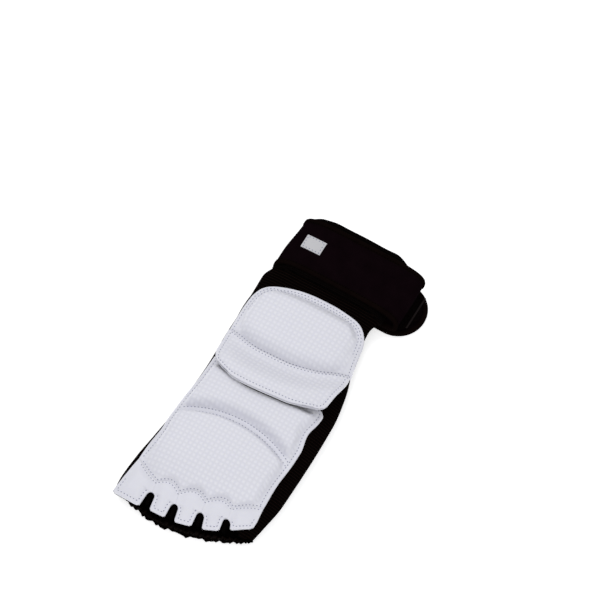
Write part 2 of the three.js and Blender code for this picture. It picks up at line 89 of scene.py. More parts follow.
SOLE_CLEARANCE = 0.35   # the knit's sole stays this far above the tapes that the guard rests on

# ---- stitches: pitch, then length, width and height of one bead, in millimetres ----
COVER_PITCH = 2.7
COVER_BEAD = (1.2, 0.8, 0.6)
STRAP_PITCH = 2.4
STRAP_BEAD = (1.5, 0.5, 0.5)
TAPE_BEAD = (1.3, 0.5, 0.5)
PATCH_BEAD = (1.0, 0.55, 0.5)
ZIGZAG_PITCH = 1.5
ZIGZAG_BEAD = (4.2, 0.6, 0.5)


# ---- curves ----
def through(points):
    """A smooth function through (at, value) pairs that never overshoots them."""
    at_known, known = np.array(points, float).T
    slope = np.diff(known) / np.diff(at_known)
    before = np.concatenate([slope[:1], slope])
    after = np.concatenate([slope, slope[-1:]])
    product = before * after
    total = np.where(np.abs(before + after) < 1e-12, 1, before + after)
    tangent = np.where(product <= 0, 0, 2 * product / total)

    def value(at):
        at = np.clip(np.asarray(at, float), at_known[0], at_known[-1])
        i = np.clip(np.searchsorted(at_known, at, side="right") - 1, 0, len(known) - 2)
        span = at_known[i + 1] - at_known[i]
        t = (at - at_known[i]) / span
        rise = t * t * (3 - 2 * t)
        bend = span * t * (1 - t) * ((1 - t) * tangent[i] - t * tangent[i + 1])
        return known[i] * (1 - rise) + known[i + 1] * rise + bend

    return value


def mix(a, b, t):
    return a + (b - a) * t


def smooth(low, high, at):
    t = np.clip((at - low) / (high - low), 0, 1)
    return t * t * (3 - 2 * t)


def bell(distance, width):
    return np.exp(-((distance / width) ** 2))


def signed_power(value, power):
    return np.sign(value) * np.abs(value) ** power


def points_at(*parts):
    """Points from their coordinates, which broadcast together."""
    return np.stack(np.broadcast_arrays(*parts), -1)


def corner_distance(across, along, radius):
    """Distance inside a border whose corner is rounded, from the distances to its two sides."""
    nearest = np.minimum(across, along)
    in_corner = np.hypot(np.maximum(radius - across, 0), np.maximum(radius - along, 0))
    return np.where(nearest < radius, radius - in_corner, nearest)


def ripple(x, y, size, seed):
    """Gentle unevenness between -1 and 1, made of waves of about that size."""
    total = 0
    for k in range(4):
        turn = seed + 1.9 * k
        along = x * math.cos(turn) + y * math.sin(turn)
        total = total + np.sin(along * 2 * math.pi / (size * (1 + 0.37 * k)) + 5 * turn)
    return total / 4


def travelled(path):
    """Length of a polyline up to each of its points."""
    return np.concatenate([[0], np.cumsum(np.linalg.norm(np.diff(path, axis=0), axis=1))])


def headings(path):
    """Unit direction of a polyline at each of its points."""
    ahead = np.gradient(path, axis=0)
    return ahead / np.linalg.norm(ahead, axis=1, keepdims=True)


def spaced(path, pitch):
    """Points at equal steps along a polyline, and the direction at each."""
    path = np.asarray(path, float)
    length = travelled(path)
    steps = max(2, round(length[-1] / pitch))
    at = np.linspace(0, length[-1], steps + 1)
    points = np.stack([np.interp(at, length, path[:, k]) for k in range(path.shape[1])], -1)
    return points, headings(points)


def distance_to(paths, x, y):
    """Distance in plan from each grid point to the nearest of the given polylines."""
    marks = np.concatenate([spaced(path, 0.8)[0] for path in paths])
    best = np.full(x.shape, 1e9)
    for mark in marks:
        np.minimum(best, (x - mark[0]) ** 2 + (y - mark[1]) ** 2, out=best)
    return np.sqrt(best)


# ---- the sock's outer surface ----
edge_left = through([(-142, -58), (-121, -60.3), (-100, -58.8), (-80, -56), (-50, -52.7), (-10, -51),
                     (30, -52.3), (58, -52.2), (76, -52.5), (90, -47.6), (106, -46.6), (142, -42)])
edge_right = through([(-142, 51), (-120, 52.5), (-105, 55), (-80, 58.5), (-40, 59), (-5, 58), (20, 54),
                      (40, 48), (60, 43.5), (76, 42), (92, 46.5), (142, 47)])
floor_line = through([(-142, 0), (34, 0), (60, 2.5), (90, 7.8), (142, 7.8)])
top_line = through([(-142, 11), (-120, 14), (-100, 16.5), (-60, 18.5), (-10, 19.5), (24, 19.2), (60, 18.3),
                    (90, 17.4), (142, 17.2)])
MEDIAL_FLATNESS = 1.035     # the sole's section is cut off flat where it would pass 1
LATERAL_FLATNESS = 1.12


def section(y):
    """Middle and half width of the sock's section, then middle and half height."""
    left, right, low, high = edge_left(y), edge_right(y), floor_line(y), top_line(y)
    return (left + right) / 2, (right - left) / 2, (low + high) / 2, (high - low) / 2


def wall(y, degrees, inset=0):
    """Points of the sock wall: angle 0 is the little-toe side, 90 the instep, 180 the big-toe side."""
    centre, half, middle, rise = section(y)
    c, n = np.cos(np.radians(degrees)), np.sin(np.radians(degrees))
    below, medial = n < 0, c < 0
    power = np.where(below & medial, 2.0, ROUNDNESS)
    flatten = np.where(below, np.where(medial, MEDIAL_FLATNESS, LATERAL_FLATNESS), 1.0)
    x = centre + (half - inset) * signed_power(c, 2 / power)
    z = middle + (rise - inset) * np.sign(n) * np.minimum(1, flatten * np.abs(n) ** (2 / power))
    return points_at(x, y, z)


def wall_normal(y, degrees):
    along = wall(y + 0.5, degrees) - wall(y - 0.5, degrees)
    around = wall(y, degrees + 1) - wall(y, degrees - 1)
    normal = np.cross(along, around)
    return normal / np.linalg.norm(normal, axis=-1, keepdims=True)


def top_at(x, y):
    centre, half, middle, rise = section(y)
    u = np.minimum(1, np.abs(x - centre) / half)
    return middle + rise * (1 - u ** ROUNDNESS) ** (1 / ROUNDNESS)


def sole_at(x, y):
    centre, half, middle, rise = section(y)
    u = np.minimum(1, np.abs(x - centre) / half)
    medial = np.minimum(1, MEDIAL_FLATNESS * np.sqrt(1 - u ** 2))
    lateral = np.minimum(1, LATERAL_FLATNESS * (1 - u ** ROUNDNESS) ** (1 / ROUNDNESS))
    return middle - rise * np.where(x < centre, medial, lateral)


# ---- meshes ----
def new_object(name, data):
    obj = bpy.data.objects.new(name, data)
    bpy.context.scene.collection.objects.link(obj)
    return obj


def mesh_object(name, points, faces, paint=None):
    """A smooth shaded mesh; paint holds named values, one for each point."""
    mesh = bpy.data.meshes.new(name)
    mesh.from_pydata((np.asarray(points) * MM).tolist(), [], faces)
    for key, values in (paint or {}).items():
        mesh.attributes.new(key, "FLOAT", "POINT").data.foreach_set("value", np.asarray(values, np.float32))
    mesh.polygons.foreach_set("use_smooth", [True] * len(mesh.polygons))
    return new_object(name, mesh)


def turn_outward(obj, weld=False):
    """Turns every face outwards; weld first joins the points that coincide."""
    edit = bmesh.new()
    edit.from_mesh(obj.data)
    if weld:
        bmesh.ops.remove_doubles(edit, verts=edit.verts, dist=1e-6)
    bmesh.ops.recalc_face_normals(edit, faces=edit.faces)
    edit.to_mesh(obj.data)
    edit.free()
    return obj


def mesh_points(mesh):
    flat = np.zeros(len(mesh.vertices) * 3)
    mesh.vertices.foreach_get("co", flat)
    return flat.reshape(-1, 3) / MM


def grid_faces(rows, cols, wrap):
    """The quads of a grid of points, (rows - 1, columns, 4); wrap joins its last column to its first."""
    r, c = np.meshgrid(np.arange(rows - 1), np.arange(cols if wrap else cols - 1), indexing="ij")
    right = (c + 1) % cols
    return np.stack([r * cols + c, r * cols + right, (r + 1) * cols + right, (r + 1) * cols + c], -1)


def thick_grid(name, outer, inner, ring=False, keep=None, paint=None):
    """A closed body from two matching grids of points, (rows, columns, 3). keep says which cells stay,
    and paint holds named values, one for each grid point."""
    rows, cols = outer.shape[:2]
    count = rows * cols
    quads = grid_faces(rows, cols, ring)
    quads = quads[keep] if keep is not None else quads.reshape(-1, 4)
    edges = np.concatenate([quads[:, [k, (k + 1) % 4]] for k in range(4)])
    key = edges.min(1) * count + edges.max(1)
    _, first, times = np.unique(key, return_index=True, return_counts=True)
    border = edges[first[times == 1]]
    walls = np.stack([border[:, 1], border[:, 0], border[:, 0] + count, border[:, 1] + count], -1)
    faces = np.concatenate([quads, quads[:, ::-1] + count, walls])
    points = np.concatenate([outer.reshape(-1, 3), inner.reshape(-1, 3)])
    used, renumbered = np.unique(faces, return_inverse=True)
    values = {k: np.concatenate([v.ravel(), v.ravel()])[used] for k, v in (paint or {}).items()}
    obj = mesh_object(name, points[used], renumbered.reshape(-1, 4).tolist(), values)
    return turn_outward(obj, weld=True)


def finish_piece(obj, material, slot, *nodes):
    """Gives a piece its material and hides the CAD nodes that it stands for; slot is not used."""
    obj.data.materials.append(material)
    if nodes:
        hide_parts(*nodes)
    return obj


BEAD_RING = 6
BEAD_ROWS = ((-1, 0.15), (-0.8, 0.75), (0, 1), (0.8, 0.75), (1, 0.15))     # place along, share of the size


def stitches(name, spots, aheads, ups, size, material, slot):
    """One piece of small rounded beads, each lying along its seam."""
    length, width, height = size
    spots, aheads, ups = (np.array(part, float)[:, None, None] for part in (spots, aheads, ups))
    along = aheads - ups * (aheads * ups).sum(-1, keepdims=True)
    along = along / np.linalg.norm(along, axis=-1, keepdims=True)
    where, share = np.array(BEAD_ROWS).T[..., None, None]
    angle = (2 * math.pi * np.arange(BEAD_RING) / BEAD_RING)[:, None]
    beads = (spots + along * (where * length / 2) + np.cross(ups, along) * (np.cos(angle) * width / 2 * share)
             + ups * (np.sin(angle) * height / 2 * share))
    first = np.arange(len(beads))[:, None] * BEAD_RING * len(BEAD_ROWS)
    quads = first[..., None] + grid_faces(len(BEAD_ROWS), BEAD_RING, True).reshape(-1, 4)
    cap = np.arange(BEAD_RING)
    last = first + BEAD_RING * (len(BEAD_ROWS) - 1)
    caps = (first + cap).tolist() + (last + cap[::-1]).tolist()
    obj = mesh_object(name, beads.reshape(-1, 3), quads.reshape(-1, 4).tolist() + caps)
    return finish_piece(obj, material, slot)


def sew(name, paths, host, slot, side=1):
    """Stitches along plan polylines, their thread painted bluish grey as painted shade of the needle holes,
    laid on top of the host (side 1) or under it (side -1).
    """
    tree = BVHTree.FromObject(host, bpy.context.evaluated_depsgraph_get())
    spots, aheads, ups = [], [], []
    for path in paths:
        for spot, direction in zip(*spaced(path, COVER_PITCH)):
            start = Vector((spot[0] * MM, spot[1] * MM, 0.1 * side))
            hit, normal, _, _ = tree.ray_cast(start, Vector((0, 0, -side)))
            if hit is not None and abs(normal.z) > 0.3:
                up = np.array(normal) * math.copysign(1, normal.z * side)
                spots.append(np.array(hit) / MM - up * 0.05)
                aheads.append(np.array([direction[0], direction[1], 0.0]))
                ups.append(up)
    return stitches(name, spots, aheads, ups, COVER_BEAD, HOLE_SHADED_THREAD, slot)


def swept(name, centres, sides, ups, width, height, closed=False):
    """A cord of rounded rectangular section along a path, such as a binding or an edge tape."""
    turn = np.linspace(0, 2 * math.pi, 12, endpoint=False)
    across, rise = signed_power(np.cos(turn), 0.6), signed_power(np.sin(turn), 0.6)
    rings = (centres[:, None] + sides[:, None] * (across * width / 2)[None, :, None]
             + ups[:, None] * (rise * height / 2)[None, :, None])
    rows, cols = rings.shape[:2]
    faces = (grid_faces(rows + closed, cols, True) % (rows * cols)).reshape(-1, 4).tolist()
    if not closed:
        faces += [list(range(cols)), list(range((rows - 1) * cols, rows * cols))]
    obj = turn_outward(mesh_object(name, rings.reshape(-1, 3), faces))
    obj.data.polygons.foreach_set("use_smooth", [len(p.vertices) == 4 for p in obj.data.polygons])
    return obj


# ---- cloth simulation of the padded covers ----
SIM_FRAMES = 20
CLOTH = {"quality": 6, "mass": 0.3, "tension_stiffness": 20, "compression_stiffness": 12,
         "shear_stiffness": 8, "bending_stiffness": 1.5, "vertex_group_mass": "pin",
         "use_pressure": True, "uniform_pressure_force": 4}


def cubic_weights(fine, coarse):
    """Matrix that resamples a row of values from `coarse` to `fine` points with a smooth cubic."""
    at = np.linspace(0, coarse - 1, fine)
    i = np.clip(np.floor(at).astype(int), 0, coarse - 2)
    t = at - i
    shares = (-t + 2 * t**2 - t**3, 2 - 5 * t**2 + 3 * t**3, t + 4 * t**2 - 3 * t**3, -(t**2) + t**3)
    weights = np.zeros((fine, coarse))
    for offset, share in zip((-1, 0, 1, 2), shares):
        np.add.at(weights, (np.arange(fine), np.clip(i + offset, 0, coarse - 1)), share / 2)
    return weights


def puff(points, free, cap):
    """How far air pressure under a stretched cover moves each grid point. free is 1 where the cover may
    move and 0 where it is sewn down. The cloth runs on a coarser grid and is resampled."""
    rows, cols = points.shape[:2]
    step_r = np.linspace(0, rows - 1, rows // 2 + 1).round().astype(int)
    step_c = np.linspace(0, cols - 1, cols // 2 + 1).round().astype(int)
    top = points[np.ix_(step_r, step_c)]
    loose = free[np.ix_(step_r, step_c)]
    obj = thick_grid("cloth", top, top - [0, 0, 10], paint={"loose": loose})
    start = mesh_points(obj.data)
    order = np.array([np.argmin(((start - p) ** 2).sum(1)) for p in top.reshape(-1, 3)])
    held = np.ones(len(start))
    held[order] = 1 - loose.ravel()
    pin = obj.vertex_groups.new(name="pin")
    for index, weight in enumerate(held):
        pin.add([index], float(weight), "REPLACE")
    cloth = obj.modifiers.new("cloth", "CLOTH")
    for key, value in CLOTH.items():
        setattr(cloth.settings, key, value)
    cloth.settings.effector_weights.gravity = 0
    cloth.collision_settings.use_collision = False
    cloth.point_cache.frame_start = 1
    cloth.point_cache.frame_end = SIM_FRAMES
    for step in range(1, SIM_FRAMES + 1):
        bpy.context.scene.frame_set(step)
    shaped = obj.evaluated_get(bpy.context.evaluated_depsgraph_get())
    shift = (mesh_points(shaped.data) - start)[order].reshape(top.shape)
    bpy.data.objects.remove(obj)
    bpy.context.scene.frame_set(1)
    far = np.linalg.norm(shift, axis=-1, keepdims=True) + 1e-9
    shift = shift / far * cap * np.tanh(far / cap)
    up_r, up_c = cubic_weights(rows, len(step_r)), cubic_weights(cols, len(step_c))
    return np.einsum("ra,abk,cb->rck", up_r, shift, up_c)


# ---- materials ----
def plug(tree, node, inputs):
    """Sets a node's inputs, each to a value or to another node's output."""
    for key, value in inputs.items():
        if isinstance(value, bpy.types.NodeSocket):
            tree.links.new(value, node.inputs[key])
        else:
            node.inputs[key].default_value = value
    return node


def add(tree, kind, inputs, **properties):
    node = tree.nodes.new(kind)
    for key, value in properties.items():
        setattr(node, key, value)
    return plug(tree, node, inputs)


def math_node(tree, operation, a, b=0.0, c=0.5):
    return add(tree, "ShaderNodeMath", {0: a, 1: b, 2: c}, operation=operation).outputs[0]


def new_material(name):
    """A material, its node tree and the node output that holds the point's position."""
    material = bpy.data.materials.new(name)
    material.use_nodes = True
    tree = material.node_tree
    return material, tree, add(tree, "ShaderNodeTexCoord", {}).outputs["Object"]


def shade(material, inputs):
    """Sets the inputs of the material's shader."""
    plug(material.node_tree, material.node_tree.nodes["Principled BSDF"], inputs)
    return material


def coordinates(tree, position):
    return add(tree, "ShaderNodeSeparateXYZ", {0: position}).outputs


def noise(tree, position, millimetres, detail=2.0):
    inputs = {"Vector": position, "Scale": 1 / (millimetres * MM), "Detail": detail}
    return add(tree, "ShaderNodeTexNoise", inputs).outputs["Fac"]


def cells(tree, position, millimetres):
    """Distance from the middle of the nearest cell, in a pattern of cells of about that size."""
    inputs = {"Vector": position, "Scale": 1 / (millimetres * MM)}
    return add(tree, "ShaderNodeTexVoronoi", inputs).outputs["Distance"]


def blend_colors(tree, share, first, second):
    """Mixes two colours, each a tuple of red, green and blue or another node's output."""
    first, second = ((*color, 1) if isinstance(color, tuple) else color for color in (first, second))
    return add(tree, "ShaderNodeMix", {0: share, 6: first, 7: second}, data_type="RGBA").outputs[2]


def bump(tree, height, millimetres, strength=1.0, normal=None):
    inputs = {"Height": height, "Distance": millimetres * MM, "Strength": strength}
    if normal is not None:
        inputs["Normal"] = normal
    return add(tree, "ShaderNodeBump", inputs).outputs[0]


def wave(tree, along, millimetres):
    """A sine of that pitch along a coordinate."""
    return math_node(tree, "SINE", math_node(tree, "MULTIPLY", along, 2 * math.pi / (millimetres * MM)))


def half_wave(tree, waves):
    """A wave moved from between -1 and 1 to between 0 and 1."""
    return math_node(tree, "MULTIPLY_ADD", waves, 0.5, 0.5)


def white_leather():
    """Bluish white synthetic leather: fine grain all over, checker emboss where the mesh asks for it, its
    squares painted lighter and darker as painted shading of the emboss.
    """
    material, tree, position = new_material("white_leather")
    x, y, _ = coordinates(tree, position)
    columns, rows = (half_wave(tree, wave(tree, along, EMBOSS_PITCH)) for along in (x, y))
    squares = math_node(tree, "POWER", math_node(tree, "MULTIPLY", columns, rows), 0.7)
    mask = add(tree, "ShaderNodeAttribute", {}, attribute_name="emboss").outputs["Fac"]
    # painted shade: the colour goes from darker to lighter with the emboss squares, standing in for their
    # shading
    emboss_painted_shade = blend_colors(tree, squares, (0.625, 0.627, 0.688), (0.7, 0.702, 0.757))
    leather = blend_colors(tree, mask, (0.655, 0.657, 0.716), emboss_painted_shade)
    grime = math_node(tree, "MULTIPLY", noise(tree, position, 22), 0.12)
    grain = bump(tree, noise(tree, position, 0.7, 3), 0.05, 0.5)
    return shade(material, {
        "Base Color": blend_colors(tree, grime, leather, (0.55, 0.56, 0.66)),
        "Normal": bump(tree, math_node(tree, "MULTIPLY", squares, mask), 0.2, 0.7, grain),
        "Roughness": 0.5, "Specular IOR Level": 0.35,
        "Subsurface Weight": 0.08, "Subsurface Radius": (0.0015, 0.0015, 0.002)})


def rib_knit(name, pitch, dark, light):
    """Black elastic knit with crosswise ribs, the crests painted a little lighter and the grooves darker as
    painted shade, broken up by fine fuzz.
    """
    material, tree, position = new_material(name)
    _, y, _ = coordinates(tree, position)
    wander = math_node(tree, "MULTIPLY", noise(tree, position, 14), 0.0009)
    ribs = wave(tree, math_node(tree, "ADD", y, wander), pitch)
    # painted shade: colour darkens towards the rib grooves and lightens on the crests, mixed with fine fuzz
    # noise
    fuzz_and_groove_shade = math_node(tree, "MULTIPLY", half_wave(tree, ribs), noise(tree, position, 1.2, 4))
    rough = bump(tree, noise(tree, position, 0.35, 4), 0.12, 0.5)
    return shade(material, {
        "Base Color": blend_colors(tree, fuzz_and_groove_shade, dark, light), "Normal": bump(tree, ribs, 0.38, 1.0, rough),
        "Roughness": 0.9, "Specular IOR Level": 0.01, "Sheen Weight": 0.003, "Sheen Roughness": 0.5})


def brushed_cloth(name, dark, light, grain, sheen=0.0):
    """Matt strap cloth with a fine nap."""
    material, tree, position = new_material(name)
    nap = noise(tree, position, grain, 5)
    patchy = math_node(tree, "MULTIPLY", math_node(tree, "ADD", nap, noise(tree, position, 9)), 0.5)
    return shade(material, {
        "Base Color": blend_colors(tree, patchy, dark, light), "Normal": bump(tree, nap, 0.14, 0.6),
        "Roughness": 0.9, "Specular IOR Level": 0.004,
        "Sheen Weight": sheen, "Sheen Tint": (0.75, 0.5, 0.7, 1)})


def hook_tape():
    """Black hook tape: rows of tiny hooks, their colour painted lighter at each hook's middle as painted
    highlights.
    """
    material, tree, position = new_material("hook_tape")
    hooks_and_glints = cells(tree, position, 1.1)
    # painted highlight: each cell's colour is lighter at its middle and darker towards its edge
    return shade(material, {
        "Base Color": blend_colors(tree, hooks_and_glints, (0.0036, 0.0020, 0.0020), (0.0004, 0.0002, 0.0002)),
        "Normal": bump(tree, hooks_and_glints, 0.4, 1.0), "Roughness": 0.7, "Specular IOR Level": 0.01})


def dark_leather():
    """Shiny dark grey grip patches, creased by wear."""
    material, tree, position = new_material("dark_leather")
    crease = noise(tree, position, 5, 5)
    pores = bump(tree, cells(tree, position, 0.9), 0.06, 0.6)
    return shade(material, {
        "Base Color": blend_colors(tree, crease, (0.010, 0.010, 0.011), (0.026, 0.025, 0.026)),
        "Normal": bump(tree, crease, 0.5, 0.5, pores), "Roughness": 0.32})


def thread(name, dark, light):
    material, tree, position = new_material(name)
    return shade(material, {
        "Base Color": blend_colors(tree, noise(tree, position, 0.5), dark, light),
        "Roughness": 0.8, "Specular IOR Level": 0.002})


WHITE = white_leather()
# for the knits the dark colour is the painted shade of the rib grooves and the light one the crests
RIBBED = rib_knit("rib_knit", 2.25, (0.0003, 0.0001, 0.0001), (0.0076, 0.0034, 0.0026))
ELASTIC = rib_knit("elastic_tape", 1.3, (0.0006, 0.0003, 0.0003), (0.0056, 0.0030, 0.0026))
STRAP_CLOTH = brushed_cloth("strap_cloth", (0.0008, 0.0003, 0.0005), (0.0056, 0.0023, 0.0037), 0.9)
BINDING_CLOTH = brushed_cloth("binding_cloth", (0.0008, 0.0004, 0.0003), (0.0056, 0.0028, 0.0026), 0.8)
HOOKS = hook_tape()
GRIP = dark_leather()
# painted shade: the stitches' white thread is painted bluish grey to stand in for the shade in their needle
# holes
HOLE_SHADED_THREAD = thread("thread_painted_hole_shade", (0.20, 0.21, 0.29), (0.30, 0.31, 0.41))
GREY_TAPE = brushed_cloth("grey_tape", (0.007, 0.005, 0.005), (0.018, 0.014, 0.014), 0.8)
LABEL = brushed_cloth("label", (0.42, 0.42, 0.44), (0.55, 0.55, 0.57), 0.6, 0.02)
BLACK_THREAD = thread("black_thread", (0.0001, 0.0001, 0.0001), (0.0003, 0.0003, 0.0003))


# ---- lines of the white covers, in plan ----
SEAM_VALLEYS = ((-54.6, -103), (-33, -114), (-13.6, -113.4), (7.5, -109.7), (27.6, -104.8), (47.8, -93))
SEAM_ARCH = (-1, 4.5, 5, 4.5, 1.5)      # height of the scalloped seam's arch over each toe
cover_left = through([(-112, -56.8), (-99, -55.2), (-88, -53.6), (-75, -52.3), (-64, -53), (-51, -52.5),
                      (-40, -51.5), (-26, -49.8), (-6, -48.6)])
cover_right = through([(-112, 49.5), (-90, 47.5), (-78, 47), (-50, 48.9), (-40, 49), (-24, 46.4), (-11, 48.6),
                       (-6, 48.8), (-2, 45.5)])
pad_front = through([(-53, -101), (-33, -110), (-13.6, -110.2), (7.5, -106.8), (27.6, -102), (47.8, -91.5)])
instep_seam = through([(-48, 22.5), (-20, 17), (0, 17.5), (24, 22.5), (46, 33), (52, 35)])
instep_top = through([(-48, 71.5), (-30, 76), (-15, 78), (0, 78.8), (22, 79), (46, 77.5)])
instep_left = through([(-14, -45.2), (-2, -46.8), (8, -48.2), (20, -50), (32, -50.6), (44, -50.9),
                       (60, -49.6)])
instep_right = through([(-12, 46.5), (4, 49.3), (24, 50.6), (33, 49.6), (46, 47), (60, 44.6), (78, 42.5)])
flap_edge = through([(-50, -8.5), (-41, -13.2), (-30, -15.9), (-16, -16.3), (0, -15.7), (14, -14.6),
                     (26, -13.6), (37, -11.3), (48, -7)])
TOE_TABS = 5
TAB_COLUMNS = 24        # grid columns across each toe tab, and across its stretch of the scalloped seam
TOE_SPAN = np.linspace(-50, 45, 160)


def scallop(x):
    """The scalloped seam between the toe cover and the forefoot cover: one arch for each toe."""
    at, value = np.array(SEAM_VALLEYS, float).T
    x = np.asarray(x, float)
    i = np.clip(np.searchsorted(at, x, side="right") - 1, 0, TOE_TABS - 1)
    t = np.clip((x - at[i]) / (at[i + 1] - at[i]), 0, 1)
    return mix(value[i], value[i + 1], t) + np.array(SEAM_ARCH)[i] * np.sin(math.pi * t)


def groove(x):
    """The sewn groove between the front and rear pads."""
    return -41.3 - 12.5 * ((x + 2) / 48) ** 2


def seam_stations():
    """x of each grid column along the scalloped seam, evenly spread within each toe's arch."""
    at = [valley[0] for valley in SEAM_VALLEYS]
    spans = [np.linspace(at[i], at[i + 1], TAB_COLUMNS, endpoint=False) for i in range(TOE_TABS)]
    return np.append(np.concatenate(spans), at[-1])


def pad_profile(inside):
    """Height of a foam pad, from 0 to 1, where inside is 0 at its border and 1 at the end of its
    shoulder: a small fillet at the foot and a broad round shoulder."""
    softened = (np.sqrt(inside**2 + 0.012) + inside) / 2
    t = np.clip(softened, 0, 1)
    return 1 - (1 - t) ** 2.3


def needle_dent(rows, x, y, edge):
    """How far a cover is drawn down along its stitching and at its border."""
    return 0.5 * bell(distance_to(rows, x, y), 1.2) + 0.6 * bell(edge, 0.9)


# ---- forefoot cover ----
def forefoot_padding(x, y):
    """Heights of the front and rear pads. Each side is a gap from a line, over the shoulder's width."""
    across = np.minimum((x - cover_left(y) - 3.7) / 5, (cover_right(y) - 5.6 - x) / 3.2)
    toes = np.minimum((y - pad_front(x)) / 26, (y - scallop(x) - 2.4) / 7)
    front = corner_distance(across, np.minimum(toes, (groove(x) - 2.8 - y) / 5), 1.1)
    rear = corner_distance(across, np.minimum((y - groove(x) - 2.8) / 8, (PAD_REAR - y) / 8), 0.8)
    return FRONT_PAD * pad_profile(front), REAR_PAD * pad_profile(rear)


def forefoot_rows():
    """Plan lines of the forefoot cover's stitching: both sides, the groove and the scalloped seam."""
    side = np.linspace(-100, COVER_REAR - 1, 90)
    across = np.linspace(-46.5, 44.5, 120)
    return [points_at(cover_left(side) + 3, side),
            points_at(cover_right(side) - 3, side)[8:],
            points_at(across, groove(across) - GROOVE_OFFSET),
            points_at(across, groove(across) + GROOVE_OFFSET),
            points_at(TOE_SPAN, scallop(TOE_SPAN) + SEAM_OFFSET)]


def forefoot_cover():
    seam = seam_stations()
    share = (seam - seam[0]) / (seam[-1] - seam[0])
    v = np.linspace(0, 1, 104)[:, None]
    y = mix(scallop(seam)[None], COVER_REAR, v)
    x = mix(seam[None], mix(cover_left(y), cover_right(y), share), np.minimum(1, 3 * v))
    front, rear = forefoot_padding(x, y)
    base = top_at(x, y) + LIFT + SKIN
    free = smooth(0.25, 0.9, np.maximum(front / FRONT_PAD, rear / REAR_PAD))
    points = points_at(x, y, base + np.maximum(front, rear))
    points = points + puff(points, free, FOREFOOT_PUFF)
    rows = forefoot_rows()
    x, y = points[..., 0], points[..., 1]
    edge = np.minimum(x - cover_left(y), cover_right(y) - x)
    points[..., 2] -= needle_dent(rows, x, y, edge)
    emboss = smooth(3.5, 5, edge) * smooth(2.5, 4, y - scallop(x)) * smooth(1.5, 2.6, np.abs(y - groove(x)))
    obj = thick_grid("forefoot_cover", points, points - [0, 0, SKIN], paint={"emboss": emboss})
    finish_piece(obj, WHITE, "white_cover", "forefoot_cover", "forefoot_foam_front", "forefoot_foam_rear")
    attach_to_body(obj, "foot")
    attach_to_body(sew("forefoot_stitches", rows, obj, "white_cover"), "foot")


# ---- toe cover ----
apex_line = through([(-56, -122), (-31.4, -122.9), (-11.1, -122.7), (9.3, -119.2), (28.9, -113.9),
                     (49, -104)])
tab_line = through([(-58.5, -135.3), (-35.2, -136.6), (-26.7, -135.8), (-13.5, -135.4), (-5.8, -134.8),
                    (7.6, -131.8), (15.3, -129.8), (27.5, -124.5), (34, -120.4), (48.7, -110.3)])
BORDER_APEX = (-57.6, -31.4, -11.1, 9.3, 28.9, 48.9)    # x of the tabs' borders in line with the slots' ends
BORDER_FRONT = (-59.2, -30.9, -9.7, 11.4, 30.8, 48.7)   # and at the tabs' front edges
SLOT_HALF = (0, 4.2, 3.9, 3.9, 3.3, 0)                  # half width of each slot at the front
SLOT_RADIUS = 2.9
ROWS_BEHIND = 12        # grid rows behind the slots' ends
ROWS_AHEAD = 27
TAB_INSET = 2.6         # from a tab's edge to its stitching


def toe_height(x, y):
    """Underside of the toe cover: flatter across than the sock, because it isn't held down at its sides."""
    centre, half, _, _ = section(y)
    return top_line(y) + LIFT - 4.2 * np.abs((x - centre) / half) ** 3.2


def slot_half(along, at_front, v):
    """Half width of a slot at a distance in front of its round end."""
    if at_front == 0:
        return 0
    t = np.clip(along / SLOT_RADIUS, 0, 1)
    return SLOT_RADIUS * np.sqrt(1 - (1 - t) ** 2) + (at_front - SLOT_RADIUS) * v


def tab_side(i, front_y, v, turn):
    """x of the tab's side along border i, a share v of the way from the slot's end to the front edge."""
    apex_y = apex_line(BORDER_APEX[i])
    half = slot_half(apex_y - mix(apex_y, front_y, v), SLOT_HALF[i], v)
    return mix(BORDER_APEX[i], BORDER_FRONT[i], v) + turn * half


def toe_grid():
    """Each tab's part of the toe cover, from the scalloped seam to the tab's front edge: plan points, their
    distance from the nearest edge and the height of the padding."""
    t = np.arange(TAB_COLUMNS + 1) / TAB_COLUMNS
    behind = np.linspace(0, 1, ROWS_BEHIND + 1)[:-1]
    ahead = np.linspace(0, 1, ROWS_AHEAD) ** 1.35
    in_slot = np.concatenate([0 * behind, ahead])[:, None]
    joined = 12 * (1 - smooth(0, 0.08, in_slot))        # behind the slots a tab runs on into its neighbours
    xs, ys, edges, puffs = [], [], [], []
    for i in range(TOE_TABS):
        seam = mix(SEAM_VALLEYS[i][0], SEAM_VALLEYS[i + 1][0], t)
        apex_x = mix(BORDER_APEX[i], BORDER_APEX[i + 1], t)
        front_x = mix(BORDER_FRONT[i] + SLOT_HALF[i], BORDER_FRONT[i + 1] - SLOT_HALF[i + 1], t)
        front_y = tab_line(front_x) + 1.1 * (bell(t, 0.06) + bell(1 - t, 0.06))
        x_rows = [mix(seam, apex_x, v) for v in behind]
        y_rows = [mix(scallop(seam), apex_line(apex_x), v) for v in behind]
        for v in ahead:
            x_rows.append(mix(tab_side(i, front_y[0], v, 1), tab_side(i + 1, front_y[-1], v, -1), t))
            y_rows.append(mix(apex_line(apex_x), front_y, v))
        x, y = np.array(x_rows), np.array(y_rows)
        left, right, before = x - x[:, :1], x[:, -1:] - x, y - front_y[None]
        full = corner_distance(np.minimum(left, right), np.minimum(before, scallop(seam)[None] - y), 5)
        left, right = left + joined * (i > 0), right + joined * (i < TOE_TABS - 1)
        xs.append(x)
        ys.append(y)
        edges.append(np.minimum(np.minimum(left, right), before))
        puffs.append(TAB_PUFF[i] * smooth(0.3, 8, full))
    return xs, ys, edges, puffs


